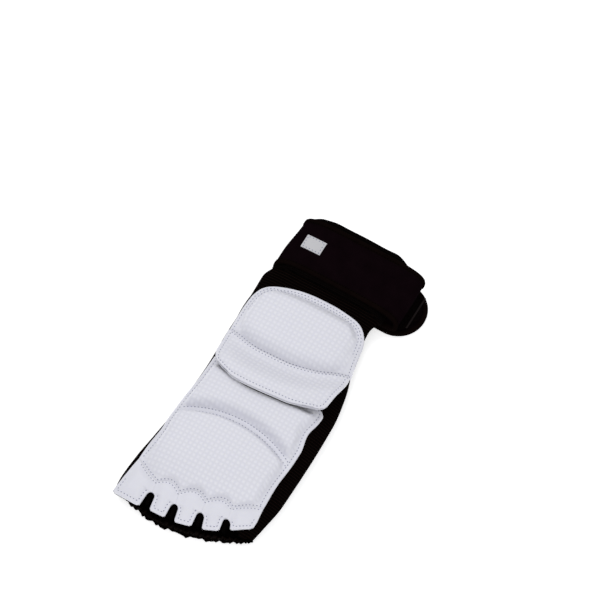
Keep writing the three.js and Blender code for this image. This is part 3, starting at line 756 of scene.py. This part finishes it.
def tab_rows(xs, ys):
    """Plan lines of the toe cover's stitching: the front row of the seam, and one loop round each tab."""
    rows = [points_at(TOE_SPAN, scallop(TOE_SPAN) - SEAM_OFFSET)]
    start = ROWS_BEHIND + 4
    for x, y in zip(xs, ys):
        across = mix(x[-1, 0] + TAB_INSET, x[-1, -1] - TAB_INSET, np.linspace(0, 1, 20))
        row = points_at(across, np.interp(across, x[-1], y[-1]) + TAB_INSET)
        left = points_at(x[start:, 0] + TAB_INSET, y[start:, 0])
        right = points_at(x[start:, -1] - TAB_INSET, y[start:, -1])
        left, right = left[left[:, 1] > row[0, 1]], right[right[:, 1] > row[-1, 1]]
        rows.append(np.concatenate([left, row, right[::-1]]))
    return rows


def bend_at_toes(piece):
    """Bakes a piece's transform into its mesh, for a piece at the toe fold, which slants back towards the
    little toe.
    """
    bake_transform(piece)


def toe_cover():
    parts = toe_grid()
    x, y, edge, padding = (np.concatenate(part, axis=1) for part in parts)
    rows = tab_rows(*parts[:2])
    z = mix(top_at(x, y) + LIFT, toe_height(x, y), smooth(0, 8, scallop(x) - y)) + TOE_SKIN + padding
    z += 0.35 * ripple(x, y, 17, 2) * smooth(0, 4, edge)
    z -= 0.45 * bell(distance_to(rows, x, y), 1.1) + 0.7 * bell(edge, 0.8)
    outer = points_at(x, y, z)
    inner = outer - [0, 0, TOE_SKIN]
    keep = np.ones((x.shape[0] - 1, x.shape[1] - 1), bool)
    for i in range(1, TOE_TABS):
        keep[:, i * (TAB_COLUMNS + 1) - 1] = False
    obj = thick_grid("toe_cover", outer, inner, keep=keep, paint={"emboss": 0 * x})
    finish_piece(obj, WHITE, "white_cover", "toe_cover_root", "toe_cover_tabs")
    sewn = sew("toe_stitches", rows, obj, "white_cover")
    lining = thick_grid("toe_cover_lining", inner - [0, 0, 0.1], inner - [0, 0, 0.8], keep=keep)
    finish_piece(lining, RIBBED, "knit")
    below = [rows[0], rows[0] + [0, 2 * SEAM_OFFSET]]
    under = sew("toe_lining_stitches", below, lining, "knit", -1)
    for piece in (obj, sewn, lining, under):
        bend_at_toes(piece)


# ---- instep cover and flap ----
def panel(u, v, near, far, radius, inset=0.0):
    """Plan point of a cover between a near and a far line, its far corners rounded."""
    nominal = mix(-47.5 + inset, 48 - inset, u)
    side = np.sign(far(0) - near(0))
    end = far(nominal) - side * inset
    y = mix(near(nominal), end, v)
    radius = radius - inset
    into = np.clip(radius - np.abs(end - y), 0, radius)
    drawn = radius - np.sqrt(np.maximum(radius**2 - into**2, 0))
    return mix(instep_left(y) + inset + drawn, instep_right(y) - inset - drawn, u), y


def panel_grid(rows, near, far, radius):
    """Plan points of a cover, its columns closer at the sides, and each one's distance from both sides."""
    even = np.linspace(0, 1, 111)
    u = mix((1 - np.cos(np.linspace(0, math.pi, 111))) / 2, even, 0.6)
    v = np.linspace(0, 1, rows)[:, None]
    x, y = panel(u[None], v, near, far, radius)
    sides, _ = panel(np.array([[0.0, 1.0]]), v, near, far, radius)
    return x, y, x - sides[:, :1], sides[:, 1:] - x


def panel_row(near, far, radius, inset, start=0.0):
    """The stitching that runs up one side, along the far line and down the other side."""
    side = np.linspace(start, 1, 60)
    across = np.linspace(0, 1, 120)
    u = np.concatenate([0 * side, across, 0 * side + 1])
    v = np.concatenate([side, 0 * across + 1, side[::-1]])
    return points_at(*panel(u, v, near, far, radius, inset))


def seam_row(offset):
    across = np.linspace(-46, 48, 120)
    return points_at(across, instep_seam(across) + offset)


def instep_cover():
    x, y, left, right = panel_grid(62, instep_seam, instep_top, INSTEP_RADIUS)
    edge = np.minimum(np.minimum(left, right), instep_top(x) - y)
    ahead = np.minimum((y - instep_seam(x) - 2.6) / 11, (instep_top(x) - y - 6.4) / 9)
    aside = np.minimum((left - 5.2) / 5.5, (right - 5.4) / 6.5)
    height = INSTEP_PAD * pad_profile(corner_distance(aside, ahead, 1.5))
    points = points_at(x, y, top_at(x, y) + LIFT + SKIN + height)
    points = points + puff(points, smooth(0.25, 0.9, height / INSTEP_PAD), INSTEP_PUFF)
    x, y = points[..., 0], points[..., 1]
    rows = [panel_row(instep_seam, instep_top, INSTEP_RADIUS, 2.4),
            panel_row(instep_seam, instep_top, INSTEP_RADIUS, 4.7, 0.5), seam_row(SEAM_OFFSET)]
    points[..., 2] -= needle_dent(rows, x, y, edge)
    emboss = smooth(4.5, 6, edge) * smooth(2.2, 3.2, y - instep_seam(x))
    obj = thick_grid("instep_cover", points, points - [0, 0, SKIN], paint={"emboss": emboss})
    finish_piece(obj, WHITE, "white_cover", "instep_cover", "instep_foam", "instep_web")
    for piece in (obj, sew("instep_stitches", rows, obj, "white_cover")):
        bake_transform(piece)


def flap_height(x, y):
    """Underside of the flap: it leaves the instep seam and lies on the rear pad."""
    into = np.clip((instep_seam(x) - y) / 30, 0, 1)
    laid = top_line(y) + LIFT + 10.6 - 5.5 * np.abs(x / 48) ** 3
    return mix(top_at(x, y) + LIFT + 0.9, laid, smooth(0.1, 0.85, into))


def flap_layer(name, x, y, low, high, reach, paint=None):
    """A layer under the flap, its free edge a little short of the flap's or a little past it."""
    far = instep_seam(x) + (y - instep_seam(x)) * reach
    return thick_grid(name, points_at(x * 0.995, far, high), points_at(x * 0.995, far, low), paint=paint)


def instep_flap():
    x, y, left, right = panel_grid(40, instep_seam, flap_edge, FLAP_RADIUS)
    edge = np.minimum(np.minimum(left, right), y - flap_edge(x))
    rows = [panel_row(instep_seam, flap_edge, FLAP_RADIUS, 2.8, 0.08), seam_row(-SEAM_OFFSET)]
    base = flap_height(x, y) + 0.3 * ripple(x, y, 26, 1) * smooth(6, 16, instep_seam(x) - y)
    z = base + 2.8 - 0.45 * bell(distance_to(rows, x, y), 1.2) - 0.4 * bell(edge, 0.8)
    emboss = smooth(3.4, 4.6, edge) * smooth(2.2, 3.2, instep_seam(x) - y)
    outer = points_at(x, y, z)
    obj = thick_grid("instep_flap", outer, outer - [0, 0, FLAP_SKIN], paint={"emboss": emboss})
    finish_piece(obj, WHITE, "white_cover", "instep_flap")
    backing = flap_layer("instep_flap_backing", x, y, base + 0.5, base + 0.9, 1.022, {"emboss": 0 * x})
    finish_piece(backing, WHITE, "white_cover")
    reach = mix(0.995, 1.034, smooth(-26, -10, x) * smooth(-44, -24, -x))
    under = flap_layer("instep_flap_lining", x, y, base - 0.1, base + 0.4, reach)
    finish_piece(under, ELASTIC, "knit", "instep_flap_lining")
    sewn = sew("flap_stitches", rows, obj, "white_cover")
    for piece in (obj, backing, under, sewn):
        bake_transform(piece)


# ---- knit sock ----
def closed_curve(points, steps):
    """A smooth closed plan curve through points, as an array of that many points."""
    points = np.array(points, float)
    count = len(points)
    at = np.linspace(0, count, steps, endpoint=False)
    i, t = at.astype(int), (at % 1)[:, None]
    p0, p1, p2, p3 = (points[(i + k) % count] for k in (-1, 0, 1, 2))
    bend, twist = 2 * p0 - 5 * p1 + 4 * p2 - p3, 3 * p1 - p0 - 3 * p2 + p3
    return 0.5 * (2 * p1 + (p2 - p0) * t + bend * t**2 + twist * t**3)


BALL_OPENING = closed_curve([(-30, -121), (-10, -123), (14, -112), (31, -95), (39, -75), (37, -58), (24, -54),
                             (3, -60), (-18, -74), (-28, -98)], 160)
HEEL_OPENING = closed_curve([(-27, 20), (-7, 11), (10, 22), (21, 40), (2, 50), (-17, 39)], 120)
hem_line = through([(-58, -130.5), (-45, -135), (-20, -139), (0, -137), (20, -131.5), (38, -124), (52, -117)])
AROUND = 176            # grid points round the sock


def inside_outline(outline, x, y):
    """Whether plan points are inside a closed outline, by counting crossings."""
    inside = np.zeros(np.shape(x), bool)
    for (x0, y0), (x1, y1) in zip(outline, np.roll(outline, -1, axis=0)):
        crosses = (y0 > y) != (y1 > y)
        inside ^= crosses & (x < (x1 - x0) * (y - y0) / (y1 - y0 + 1e-12) + x0)
    return inside


def knit_surface(y, degrees, inset):
    """The sock wall with a crease along its side seams, at -4 and 186 degrees, and slack between them."""
    side = np.minimum(np.abs((degrees + 180) % 360 - 180 + 4), np.abs(degrees - 186))
    slack = 0.35 * ripple(degrees * 0.9, y, 34, 3) * smooth(4, 16, side)
    crease = 1.3 * bell(side, 3.2)
    return wall(y, degrees, inset + SOLE_CLEARANCE - slack + crease)


def sock_piece(name, front, rear, rows, opening, *nodes):
    """A length of the sock between two lines, each a function of the angle round it."""
    degrees = np.linspace(0, 360, AROUND, endpoint=False)[None]
    v = np.linspace(0, 1, rows)[:, None]
    y = mix(front(degrees), rear(degrees), v)
    outer, inner = knit_surface(y, degrees, 0), knit_surface(y, degrees, KNIT)
    x_mid = (outer[:-1, :, 0] + np.roll(outer[:-1, :, 0], -1, 1)) / 2
    y_mid = (outer[:-1, :, 1] + outer[1:, :, 1]) / 2
    below = np.broadcast_to((degrees > 190) & (degrees < 350), x_mid.shape)
    keep = ~(below & inside_outline(opening, x_mid, y_mid))
    obj = thick_grid(name, outer, inner, ring=True, keep=keep)
    return finish_piece(obj, RIBBED, "knit", *nodes)


def toe_end(degrees):
    """The sock's front end: the toe band's ruffled hem below, the toe fold on top."""
    x = wall(-128, degrees)[..., 0]
    over = smooth(32, 55, 90 - np.abs(degrees - 90))
    ruffle = 1.3 * np.sin(degrees * 0.61) * np.sin(degrees * 0.23 + 1) + 0.5 * np.sin(degrees * 1.7)
    return mix(hem_line(x) + ruffle, -114 + FOLD_SLANT * x, over)


def bend_at_ankle(piece):
    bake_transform(piece)


def sock():
    front = sock_piece("sock_front", toe_end, lambda a: MID_Y + 0 * a, 110, BALL_OPENING, "toe_band")
    bend_at_toes(front)
    rear = sock_piece("sock_rear", lambda a: MID_Y + 0 * a, lambda a: SOCK_REAR + 0 * a, 120, HEEL_OPENING,
                      "instep_knit", "sole_knit_medial", "sole_knit_lateral",
                      "sleeve_knit_front", "sleeve_knit_back")
    bend_at_ankle(rear)


def toe_hem():
    """The gathered hem of the toe band, standing up in front of the tabs."""
    x = np.linspace(-57.5, 51.5, 520)[None]
    v = np.linspace(0, 1, 12)[:, None]
    gathers = 0.9 * np.sin(x * 1.35 + 0.8 * np.sin(x * 0.31)) + 0.5 * np.sin(x * 2.9 + 1)
    y = hem_line(x) + 1.8 - 1.9 * v - gathers * (0.25 + 0.75 * v)
    top = toe_height(np.clip(x, -56, 49), -132) - 3.2 + 0.9 * ripple(x, 0 * x, 9, 4)
    outer = points_at(x, y, mix(0.8 + 0 * x, top, v))
    obj = thick_grid("toe_hem", outer, outer + [0, 1.2, 0])
    finish_piece(obj, RIBBED, "knit")
    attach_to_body(obj, "toe_row")


def toe_dividers():
    """The stitched webs between the toes, from the band up to the cover."""
    for i in range(1, TOE_TABS):
        x_mid, y_rear = BORDER_APEX[i], float(apex_line(BORDER_APEX[i])) + 9
        y = y_rear - 18 * np.linspace(0, 1, 16)[:, None]
        v = np.linspace(0, 1, 12)[None]
        lean = (BORDER_FRONT[i] - BORDER_APEX[i]) / 16 * np.maximum(0, y_rear - 7 - y)
        z = mix(1.9 + 0 * y, toe_height(x_mid, y) - 0.9, v)
        thick = 0.7 + 0.7 * np.abs(2 * v - 1) ** 2
        flare = smooth(y_rear - 13, y_rear - 6, y)
        left = points_at(x_mid + lean - thick - 7 * flare, y, z)
        right = points_at(x_mid + lean + thick + 2 * flare, y, z)
        obj = thick_grid(f"toe_web_{i}", left, right)
        finish_piece(obj, ELASTIC, "knit", f"toe_divider_{i}")
        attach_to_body(obj, "toe_row")


# ---- details of the sole ----
def opening_tape(name, outline, attach, *nodes):
    """A bound edge round an opening in the sole, stitched underneath."""
    ahead = np.roll(outline, -1, 0) - np.roll(outline, 1, 0)
    ahead = ahead / np.linalg.norm(ahead, axis=1, keepdims=True)
    flat = np.zeros(len(outline))
    centres = points_at(outline[:, 0], outline[:, 1], sole_at(outline[:, 0], outline[:, 1]) + 1.15)
    sides = points_at(ahead[:, 1], -ahead[:, 0], flat)
    ups = points_at(flat, flat, flat + 1)
    obj = swept(name, centres, sides, ups, 3.4, 2.2, closed=True)
    finish_piece(obj, ELASTIC, "edge_tape", *nodes)
    spots = centres[::2] + sides[::2] * 0.9 - ups[::2] * 1.15
    aheads = points_at(ahead[:, 0], ahead[:, 1], flat)[::2]
    attach(obj)
    attach(stitches(name + "_stitches", spots, aheads, -ups[::2], TAPE_BEAD, BLACK_THREAD, "edge_tape"))


sole_seam_x = through([(-62, 6), (-30, -4), (0, -8), (14, -7)])


def sole_seam():
    """The flat seam along the sole, sewn with a zigzag."""
    y = np.linspace(-54, 5, 60)[:, None]
    u = np.linspace(-1, 1, 9)[None]
    x = sole_seam_x(y) + 3 * u
    low = points_at(x, y, sole_at(x, y) + 0.1 + 0.25 * u**4)
    obj = thick_grid("sole_flat_seam", low, low + [0, 0, 0.7])
    finish_piece(obj, ELASTIC, "knit", "sole_seam")
    at = np.arange(-53, 4.5, ZIGZAG_PITCH)
    centres = points_at(sole_seam_x(at), at, sole_at(sole_seam_x(at), at) + 0.05)
    turns = np.where(np.arange(len(at)) % 2, 1.0, -1.0)
    aheads = points_at(2.4 * turns, 0.9, 0)
    downs = points_at(0 * at, 0, -1)
    sewn = stitches("sole_zigzag", centres, aheads, downs, ZIGZAG_BEAD, BLACK_THREAD, "knit")
    for piece in (obj, sewn):
        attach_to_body(piece, "foot")


def grip_patch(name, body, y_range, middle, half, node):
    """A leather patch on the big-toe side of the sole, with two rows of stitches round it."""
    v = np.linspace(0, 1, 90)[:, None]
    u = np.linspace(-1, 1, 26)[None]
    y = mix(*y_range, v)
    degrees = middle(v) + half(v) * u
    border = np.minimum(1 - np.abs(u), 6 * np.minimum(v, 1 - v))
    out = 1.5 - 0.7 * bell(border, 0.1) + 0.25 * ripple(y, degrees * 0.8, 19, 4)
    outer = wall(y, degrees) + wall_normal(y, degrees) * out[..., None]
    obj = thick_grid(name, outer, wall(y, degrees) + wall_normal(y, degrees) * 0.3)
    finish_piece(obj, GRIP, "grip_patch", node)
    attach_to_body(obj, body)
    spots, aheads, ups = [], [], []
    t = np.linspace(0.03, 0.97, 60)
    for inset in (0.86, 0.68):
        for side in (-1, 1):
            angle = middle(t) + side * half(t) * inset
            at = mix(*y_range, t)
            up = wall_normal(at, angle)
            where = wall(at, angle) + up * 1.4
            spots += list(where)
            aheads += list(np.gradient(where, axis=0))
            ups += list(up)
    sewn = stitches(name + "_stitches", spots, aheads, ups, PATCH_BEAD, BLACK_THREAD, "grip_patch")
    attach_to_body(sewn, body)


def sole_details():
    for name, outline, attach in (("ball_opening_tape", BALL_OPENING, bend_at_toes),
                                  ("heel_opening_tape", HEEL_OPENING, bend_at_ankle)):
        opening_tape(name, outline, attach, name + "_front", name + "_rear")
    sole_seam()
    grip_patch("side_grip_patch", "foot", (-94, -16), lambda v: 207 + 3 * v,
               lambda v: 8 + 14 * np.sin(math.pi * v**1.4) ** 0.7, "side_patch")
    grip_patch("ankle_grip_patch", "sleeve", (25, 66), lambda v: 203 + 0 * v,
               lambda v: 6 + 12 * np.sin(math.pi * v**1.4) ** 0.7, "ankle_patch")


# ---- ankle strap ----
FOLD_START = 200        # degrees round the loop where the strap turns into its fold
BACK_START = -34        # x where the fold becomes the back run
BACK_END = 0.6


def loop_path(degrees):
    """The strap's mid-line round the ankle, in (x, z)."""
    c, n = np.cos(np.radians(degrees)), np.sin(np.radians(degrees))
    across, over, under = LOOP_HALF
    rise = np.where(n > 0, over, under)
    x_middle, z_middle = LOOP_MIDDLE
    return points_at(x_middle + across * signed_power(c, 2 / 3), z_middle + rise * signed_power(n, 2 / 3))


def outward_from(path):
    """Outward direction at each point of an (x, z) path that runs anticlockwise."""
    ahead = headings(path)
    return points_at(ahead[:, 1], 0, -ahead[:, 0])


def back_height(x):
    return 3.4 * smooth(0, 1, (-14 - x) / 24) + 1.4


def drawn_in(points):
    """The strap narrows on the big-toe side towards its upper edge."""
    shift = 2.4 * smooth(98, 134, points[..., 1]) * smooth(10, 44, -points[..., 0])
    return points + shift[..., None] * [1, 0, 0]


def strap_run(name, path, y_low, y_high, attach, nodes, low_nodes=(), high_nodes=()):
    """A length of strap along (x, z) points: cloth, two bindings, and a row of stitches inside each."""
    along = np.array([0, 1, 0])
    outward = outward_from(path)
    mid = points_at(path[:, 0], 0 * path[:, 0], path[:, 1])
    y_low, y_high = y_low + 0 * mid[:, 0], y_high + 0 * mid[:, 0]
    u = np.linspace(0, 1, 40)[:, None]
    face = mid[None] + along * mix(y_low + 2, y_high - 2, u)[..., None]
    arch, slack = np.sin(math.pi * u), ripple(travelled(path)[None], face[..., 1], 31, 5)
    belly = 0.35 * arch ** 0.5 + 0.22 * slack * arch
    outer = face + outward[None] * (STRAP / 2 - 0.4 + belly)[..., None]
    cloth = thick_grid(name, drawn_in(outer), drawn_in(face - outward[None] * (STRAP / 2 - 0.2)))
    attach(finish_piece(cloth, STRAP_CLOTH, "strap", *nodes))
    sides = np.broadcast_to(along, mid.shape)
    for end, edge, turn, taken in (("lower", y_low, 1, low_nodes), ("upper", y_high, -1, high_nodes)):
        centre = drawn_in(mid + along * (edge + turn * BINDING / 2)[:, None])
        binding = swept(f"{name}_{end}_binding", centre, sides, outward, BINDING, STRAP + 0.9)
        attach(finish_piece(binding, BINDING_CLOTH, "strap_binding", *taken))
        line = mid + along * (edge + turn * (BINDING - 0.9))[:, None] + outward * (STRAP / 2 + 0.28)
        row, direction = spaced(drawn_in(line), STRAP_PITCH)
        attach(stitches(f"{name}_{end}_stitches", row, direction, np.cross(direction, along), STRAP_BEAD,
                        BLACK_THREAD, "strap_binding"))


def fold_path():
    """The strap's fold on the big-toe side, from the loop to the back run."""
    before, first = loop_path(np.array([FOLD_START - 1.0, FOLD_START]))
    lead = (first - before) / np.linalg.norm(first - before)
    last = np.array([BACK_START, float(back_height(BACK_START))])
    back = np.array([1, float(back_height(BACK_START) - back_height(BACK_START - 1))])
    back /= np.linalg.norm(back)
    t = np.linspace(0, 1, 24)[:, None]
    one, two = first + lead * 7, last - back * 9
    return (1 - t) ** 3 * first + 3 * (1 - t) ** 2 * t * one + 3 * (1 - t) * t**2 * two + t**3 * last


def strap_patch(name, angles, y_range, low, high, material, slot, node):
    """A patch on the strap between two angles round its loop, and the mid-line surface under it."""
    path = loop_path(np.linspace(*angles, 40))
    outward = outward_from(path)
    across = np.linspace(*y_range, 30)[:, None]
    face = points_at(path[:, 0][None], across, path[:, 1][None])
    edge = np.minimum(across - y_range[0], y_range[1] - across)
    top = high - 0.3 * bell(edge, 0.8)
    obj = thick_grid(name, face + outward[None] * top[..., None], face + outward[None] * low)
    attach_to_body(finish_piece(obj, material, slot, node), "sleeve")
    return obj, face


def strap_patches():
    """The loop patch under the ankle and the blank label on the instep, sewn on by its edges."""
    strap_patch("loop_patch", (-99, -77), (96, 126), 1.3, 2.0, HOOKS, "hook_and_loop", "strap_loop_patch")
    label, face = strap_patch("blank_label", (110, 136), (109.5, 121), 1.2, 2.05,
                              LABEL, "label", "strap_label")
    border = [line[3:-3, :2] for line in (face[3], face[:, -4], face[-4][::-1], face[::-1, 3])]
    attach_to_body(sew("blank_label_stitches", [np.concatenate(border)], label, "label"), "sleeve")


def tab_outline(inset):
    """The end tab's edge in plan, from its seam round the far end and back."""
    radius = TAB_HALF - inset
    straight = np.linspace(BACK_END, TAB_ROUND, 30)[:-1]
    turn = np.linspace(-math.pi / 2, math.pi / 2, 60)
    return np.concatenate([points_at(straight, TAB_Y - radius),
                           points_at(TAB_ROUND + radius * np.cos(turn), TAB_Y + radius * np.sin(turn)),
                           points_at(straight[::-1], TAB_Y + radius)])


def tab_sheet(name, start, inset, low, high, material, slot, node):
    """A flat layer of the tab, its end rounded."""
    radius = TAB_HALF - inset
    turn = np.linspace(0.03, 1.545, 40)
    x = np.concatenate([np.linspace(start, TAB_ROUND, 50), TAB_ROUND + radius * np.sin(turn)])[None]
    u = np.linspace(-1, 1, 46)[:, None]
    y = TAB_Y + np.sqrt(np.maximum(radius**2 - np.maximum(x - TAB_ROUND, 0) ** 2, 0)) * u
    obj = thick_grid(name, points_at(x, y, high + 0.25 * ripple(x, y, 24, 7)), points_at(x, y, low))
    return finish_piece(obj, material, slot, node)


def end_tab():
    pieces = [tab_sheet("end_tab", 0.5, 1.5, 0.2, 2.4, STRAP_CLOTH, "strap", "strap_end_tab"),
              tab_sheet("hook_patch", 6, 5.3, 2.2, 3.2, HOOKS, "hook_and_loop", "strap_hook_patch")]
    outline = tab_outline(BINDING / 2)
    ahead = headings(outline)
    flat = 0 * ahead[:, 0]
    binding = swept("tab_edge_binding", points_at(outline[:, 0], outline[:, 1], 1.6),
                    points_at(ahead[:, 1], -ahead[:, 0], 0), points_at(flat, 0, 1), BINDING, 3.1)
    pieces.append(finish_piece(binding, BINDING_CLOTH, "strap_binding", "tab_binding"))
    y = np.linspace(97, 126, 30)
    sides, ups = points_at(1, 0 * y, 0), points_at(0, 0 * y, 1)
    line = swept("tab_tape_line", points_at(62, y, 3.5), sides, ups, 1.5, 0.9)
    pieces.append(finish_piece(line, GREY_TAPE, "strap_binding"))
    row, direction = spaced(tab_outline(BINDING - 0.4), STRAP_PITCH)
    aheads = points_at(direction[:, 0], direction[:, 1], 0)
    for face, z, up in (("top", 2.95, 1.0), ("sole", 0.25, -1.0)):
        spots, ups = points_at(row[:, 0], row[:, 1], z), points_at(0 * row[:, 0], 0, up)
        pieces.append(stitches(f"tab_stitches_{face}", spots, aheads, ups, STRAP_BEAD,
                               BLACK_THREAD, "strap_binding"))
    for piece in pieces:
        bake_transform(piece)


def ankle_strap():
    def ride_sleeve(piece):
        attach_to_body(piece, "sleeve")

    def fold(piece):
        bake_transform(piece)

    def ride_back(piece):
        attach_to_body(piece, "strap_back")

    front = loop_path(np.linspace(-100, FOLD_START, 230))
    on_instep = smooth(11, 20, front[:, 1])
    low, high = (edge + bow * on_instep for edge, bow in zip(STRAP_Y, STRAP_BOW))
    strap_run("ankle_strap_front", front, low, high, ride_sleeve,
              ["ankle_strap"], ["strap_binding_lower"], ["strap_binding_upper"])
    strap_run("ankle_strap_fold", fold_path(), *STRAP_Y, fold, [])
    x = np.linspace(BACK_START, BACK_END, 40)
    narrow = 1 - smooth(0, 34, -x)
    low, high = (mix(edge, TAB_Y + side * TAB_HALF, narrow) for edge, side in zip(STRAP_Y, (-1, 1)))
    strap_run("ankle_strap_back", points_at(x, back_height(x)), low, high, ride_back,
              ["strap_back_run"], ["back_binding_lower"], ["back_binding_upper"])
    end_tab()
    strap_patches()


def ankle_cuff():
    """The elastic cuff inside the strap, with a rolled edge at both ends."""
    degrees = np.linspace(0, 360, 180, endpoint=False)[None]
    v = np.linspace(0, 1, 50)[:, None]
    lift = smooth(0.2, 0.9, np.sin(np.radians(degrees)))
    lateral = smooth(0.45, 1, np.cos(np.radians(degrees)))
    low = CUFF_Y[0] + 3.2 * lift + 0.5 * ripple(degrees * 0.6, 0 * degrees, 21, 2)
    high = CUFF_Y[1] + 4.2 * lift - 3.6 * lateral + 0.5 * ripple(degrees * 0.6, 0 * degrees, 17, 3)
    y = mix(low, high, v)
    roll = 0.9 * bell(v - 0.035, 0.035) + 0.8 * bell(v - 0.965, 0.04) + 1.7 * smooth(0.3, 0.9, lift) * (1 - v)
    obj = thick_grid("ankle_cuff_band", wall(y, degrees, -roll), wall(y, degrees, 1.4), ring=True)
    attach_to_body(finish_piece(obj, ELASTIC, "cuff", "ankle_cuff"), "sleeve")


# ---- camera, light and floor, in metres ----
CAMERA_AIM = Vector((-0.0204, 0.0783, 0))
CAMERA_AZIMUTH = math.radians(30.3)
CAMERA_ELEVATION = math.radians(63.9)
CAMERA_LENS = 630           # millimetres, on a sensor 36 wide
CAMERA_SENSOR = 36
HALF_VIEW = 0.228           # half the width that the camera sees at the guard
LAMPS = (("key", (-0.75, 0.75, 1.5), 1.0, 10.5),    # name, place, size and watts
         ("fill", (0.7, -0.9, 1.3), 1.6, 11.2))
FLOOR_HALF = 3
FLOOR_Z = -0.0004


def camera():
    level = math.cos(CAMERA_ELEVATION)
    east, south = math.sin(CAMERA_AZIMUTH) * level, math.cos(CAMERA_AZIMUTH) * level
    back = Vector((east, -south, math.sin(CAMERA_ELEVATION)))
    data = bpy.data.cameras.new("camera")
    data.lens, data.sensor_width = CAMERA_LENS, CAMERA_SENSOR
    data.clip_end = 30
    holder = new_object("camera", data)
    holder.location = CAMERA_AIM + back * (HALF_VIEW / (CAMERA_SENSOR / 2 / CAMERA_LENS))
    holder.rotation_euler = (-back).to_track_quat("-Z", "Y").to_euler()
    bpy.context.scene.camera = holder


def lights():
    for name, place, size, power in LAMPS:
        lamp = bpy.data.lights.new(name, "AREA")
        lamp.size, lamp.energy = size, power
        light = new_object(name, lamp)
        light.location = place
        light.rotation_euler = (CAMERA_AIM - Vector(place)).to_track_quat("-Z", "Y").to_euler()
    world = bpy.data.worlds.new("studio")
    world.use_nodes = True
    plug(world.node_tree, world.node_tree.nodes["Background"], {"Color": (1, 1, 1, 1), "Strength": 0.62})
    bpy.context.scene.world = world
    bpy.context.scene.view_settings.view_transform = "Standard"


def floor():
    material, tree, position = new_material("floor")
    shade(material, {
        "Base Color": blend_colors(tree, noise(tree, position, 60), (0.82, 0.82, 0.83), (0.85, 0.85, 0.85)),
        "Emission Color": (1, 1, 1, 1), "Emission Strength": 0.5,
        "Roughness": 0.9, "Specular IOR Level": 0.1})
    mesh = bpy.data.meshes.new("floor")
    corners = [(x * FLOOR_HALF, y * FLOOR_HALF, FLOOR_Z) for x, y in ((-1, -1), (1, -1), (1, 1), (-1, 1))]
    mesh.from_pydata(corners, [], [(0, 1, 2, 3)])
    mesh.materials.append(material)
    new_object("floor", mesh)


camera()
lights()
floor()
forefoot_cover()
instep_cover()
toe_cover()
instep_flap()
sock()
toe_hem()
toe_dividers()
sole_details()
ankle_strap()
ankle_cuff()
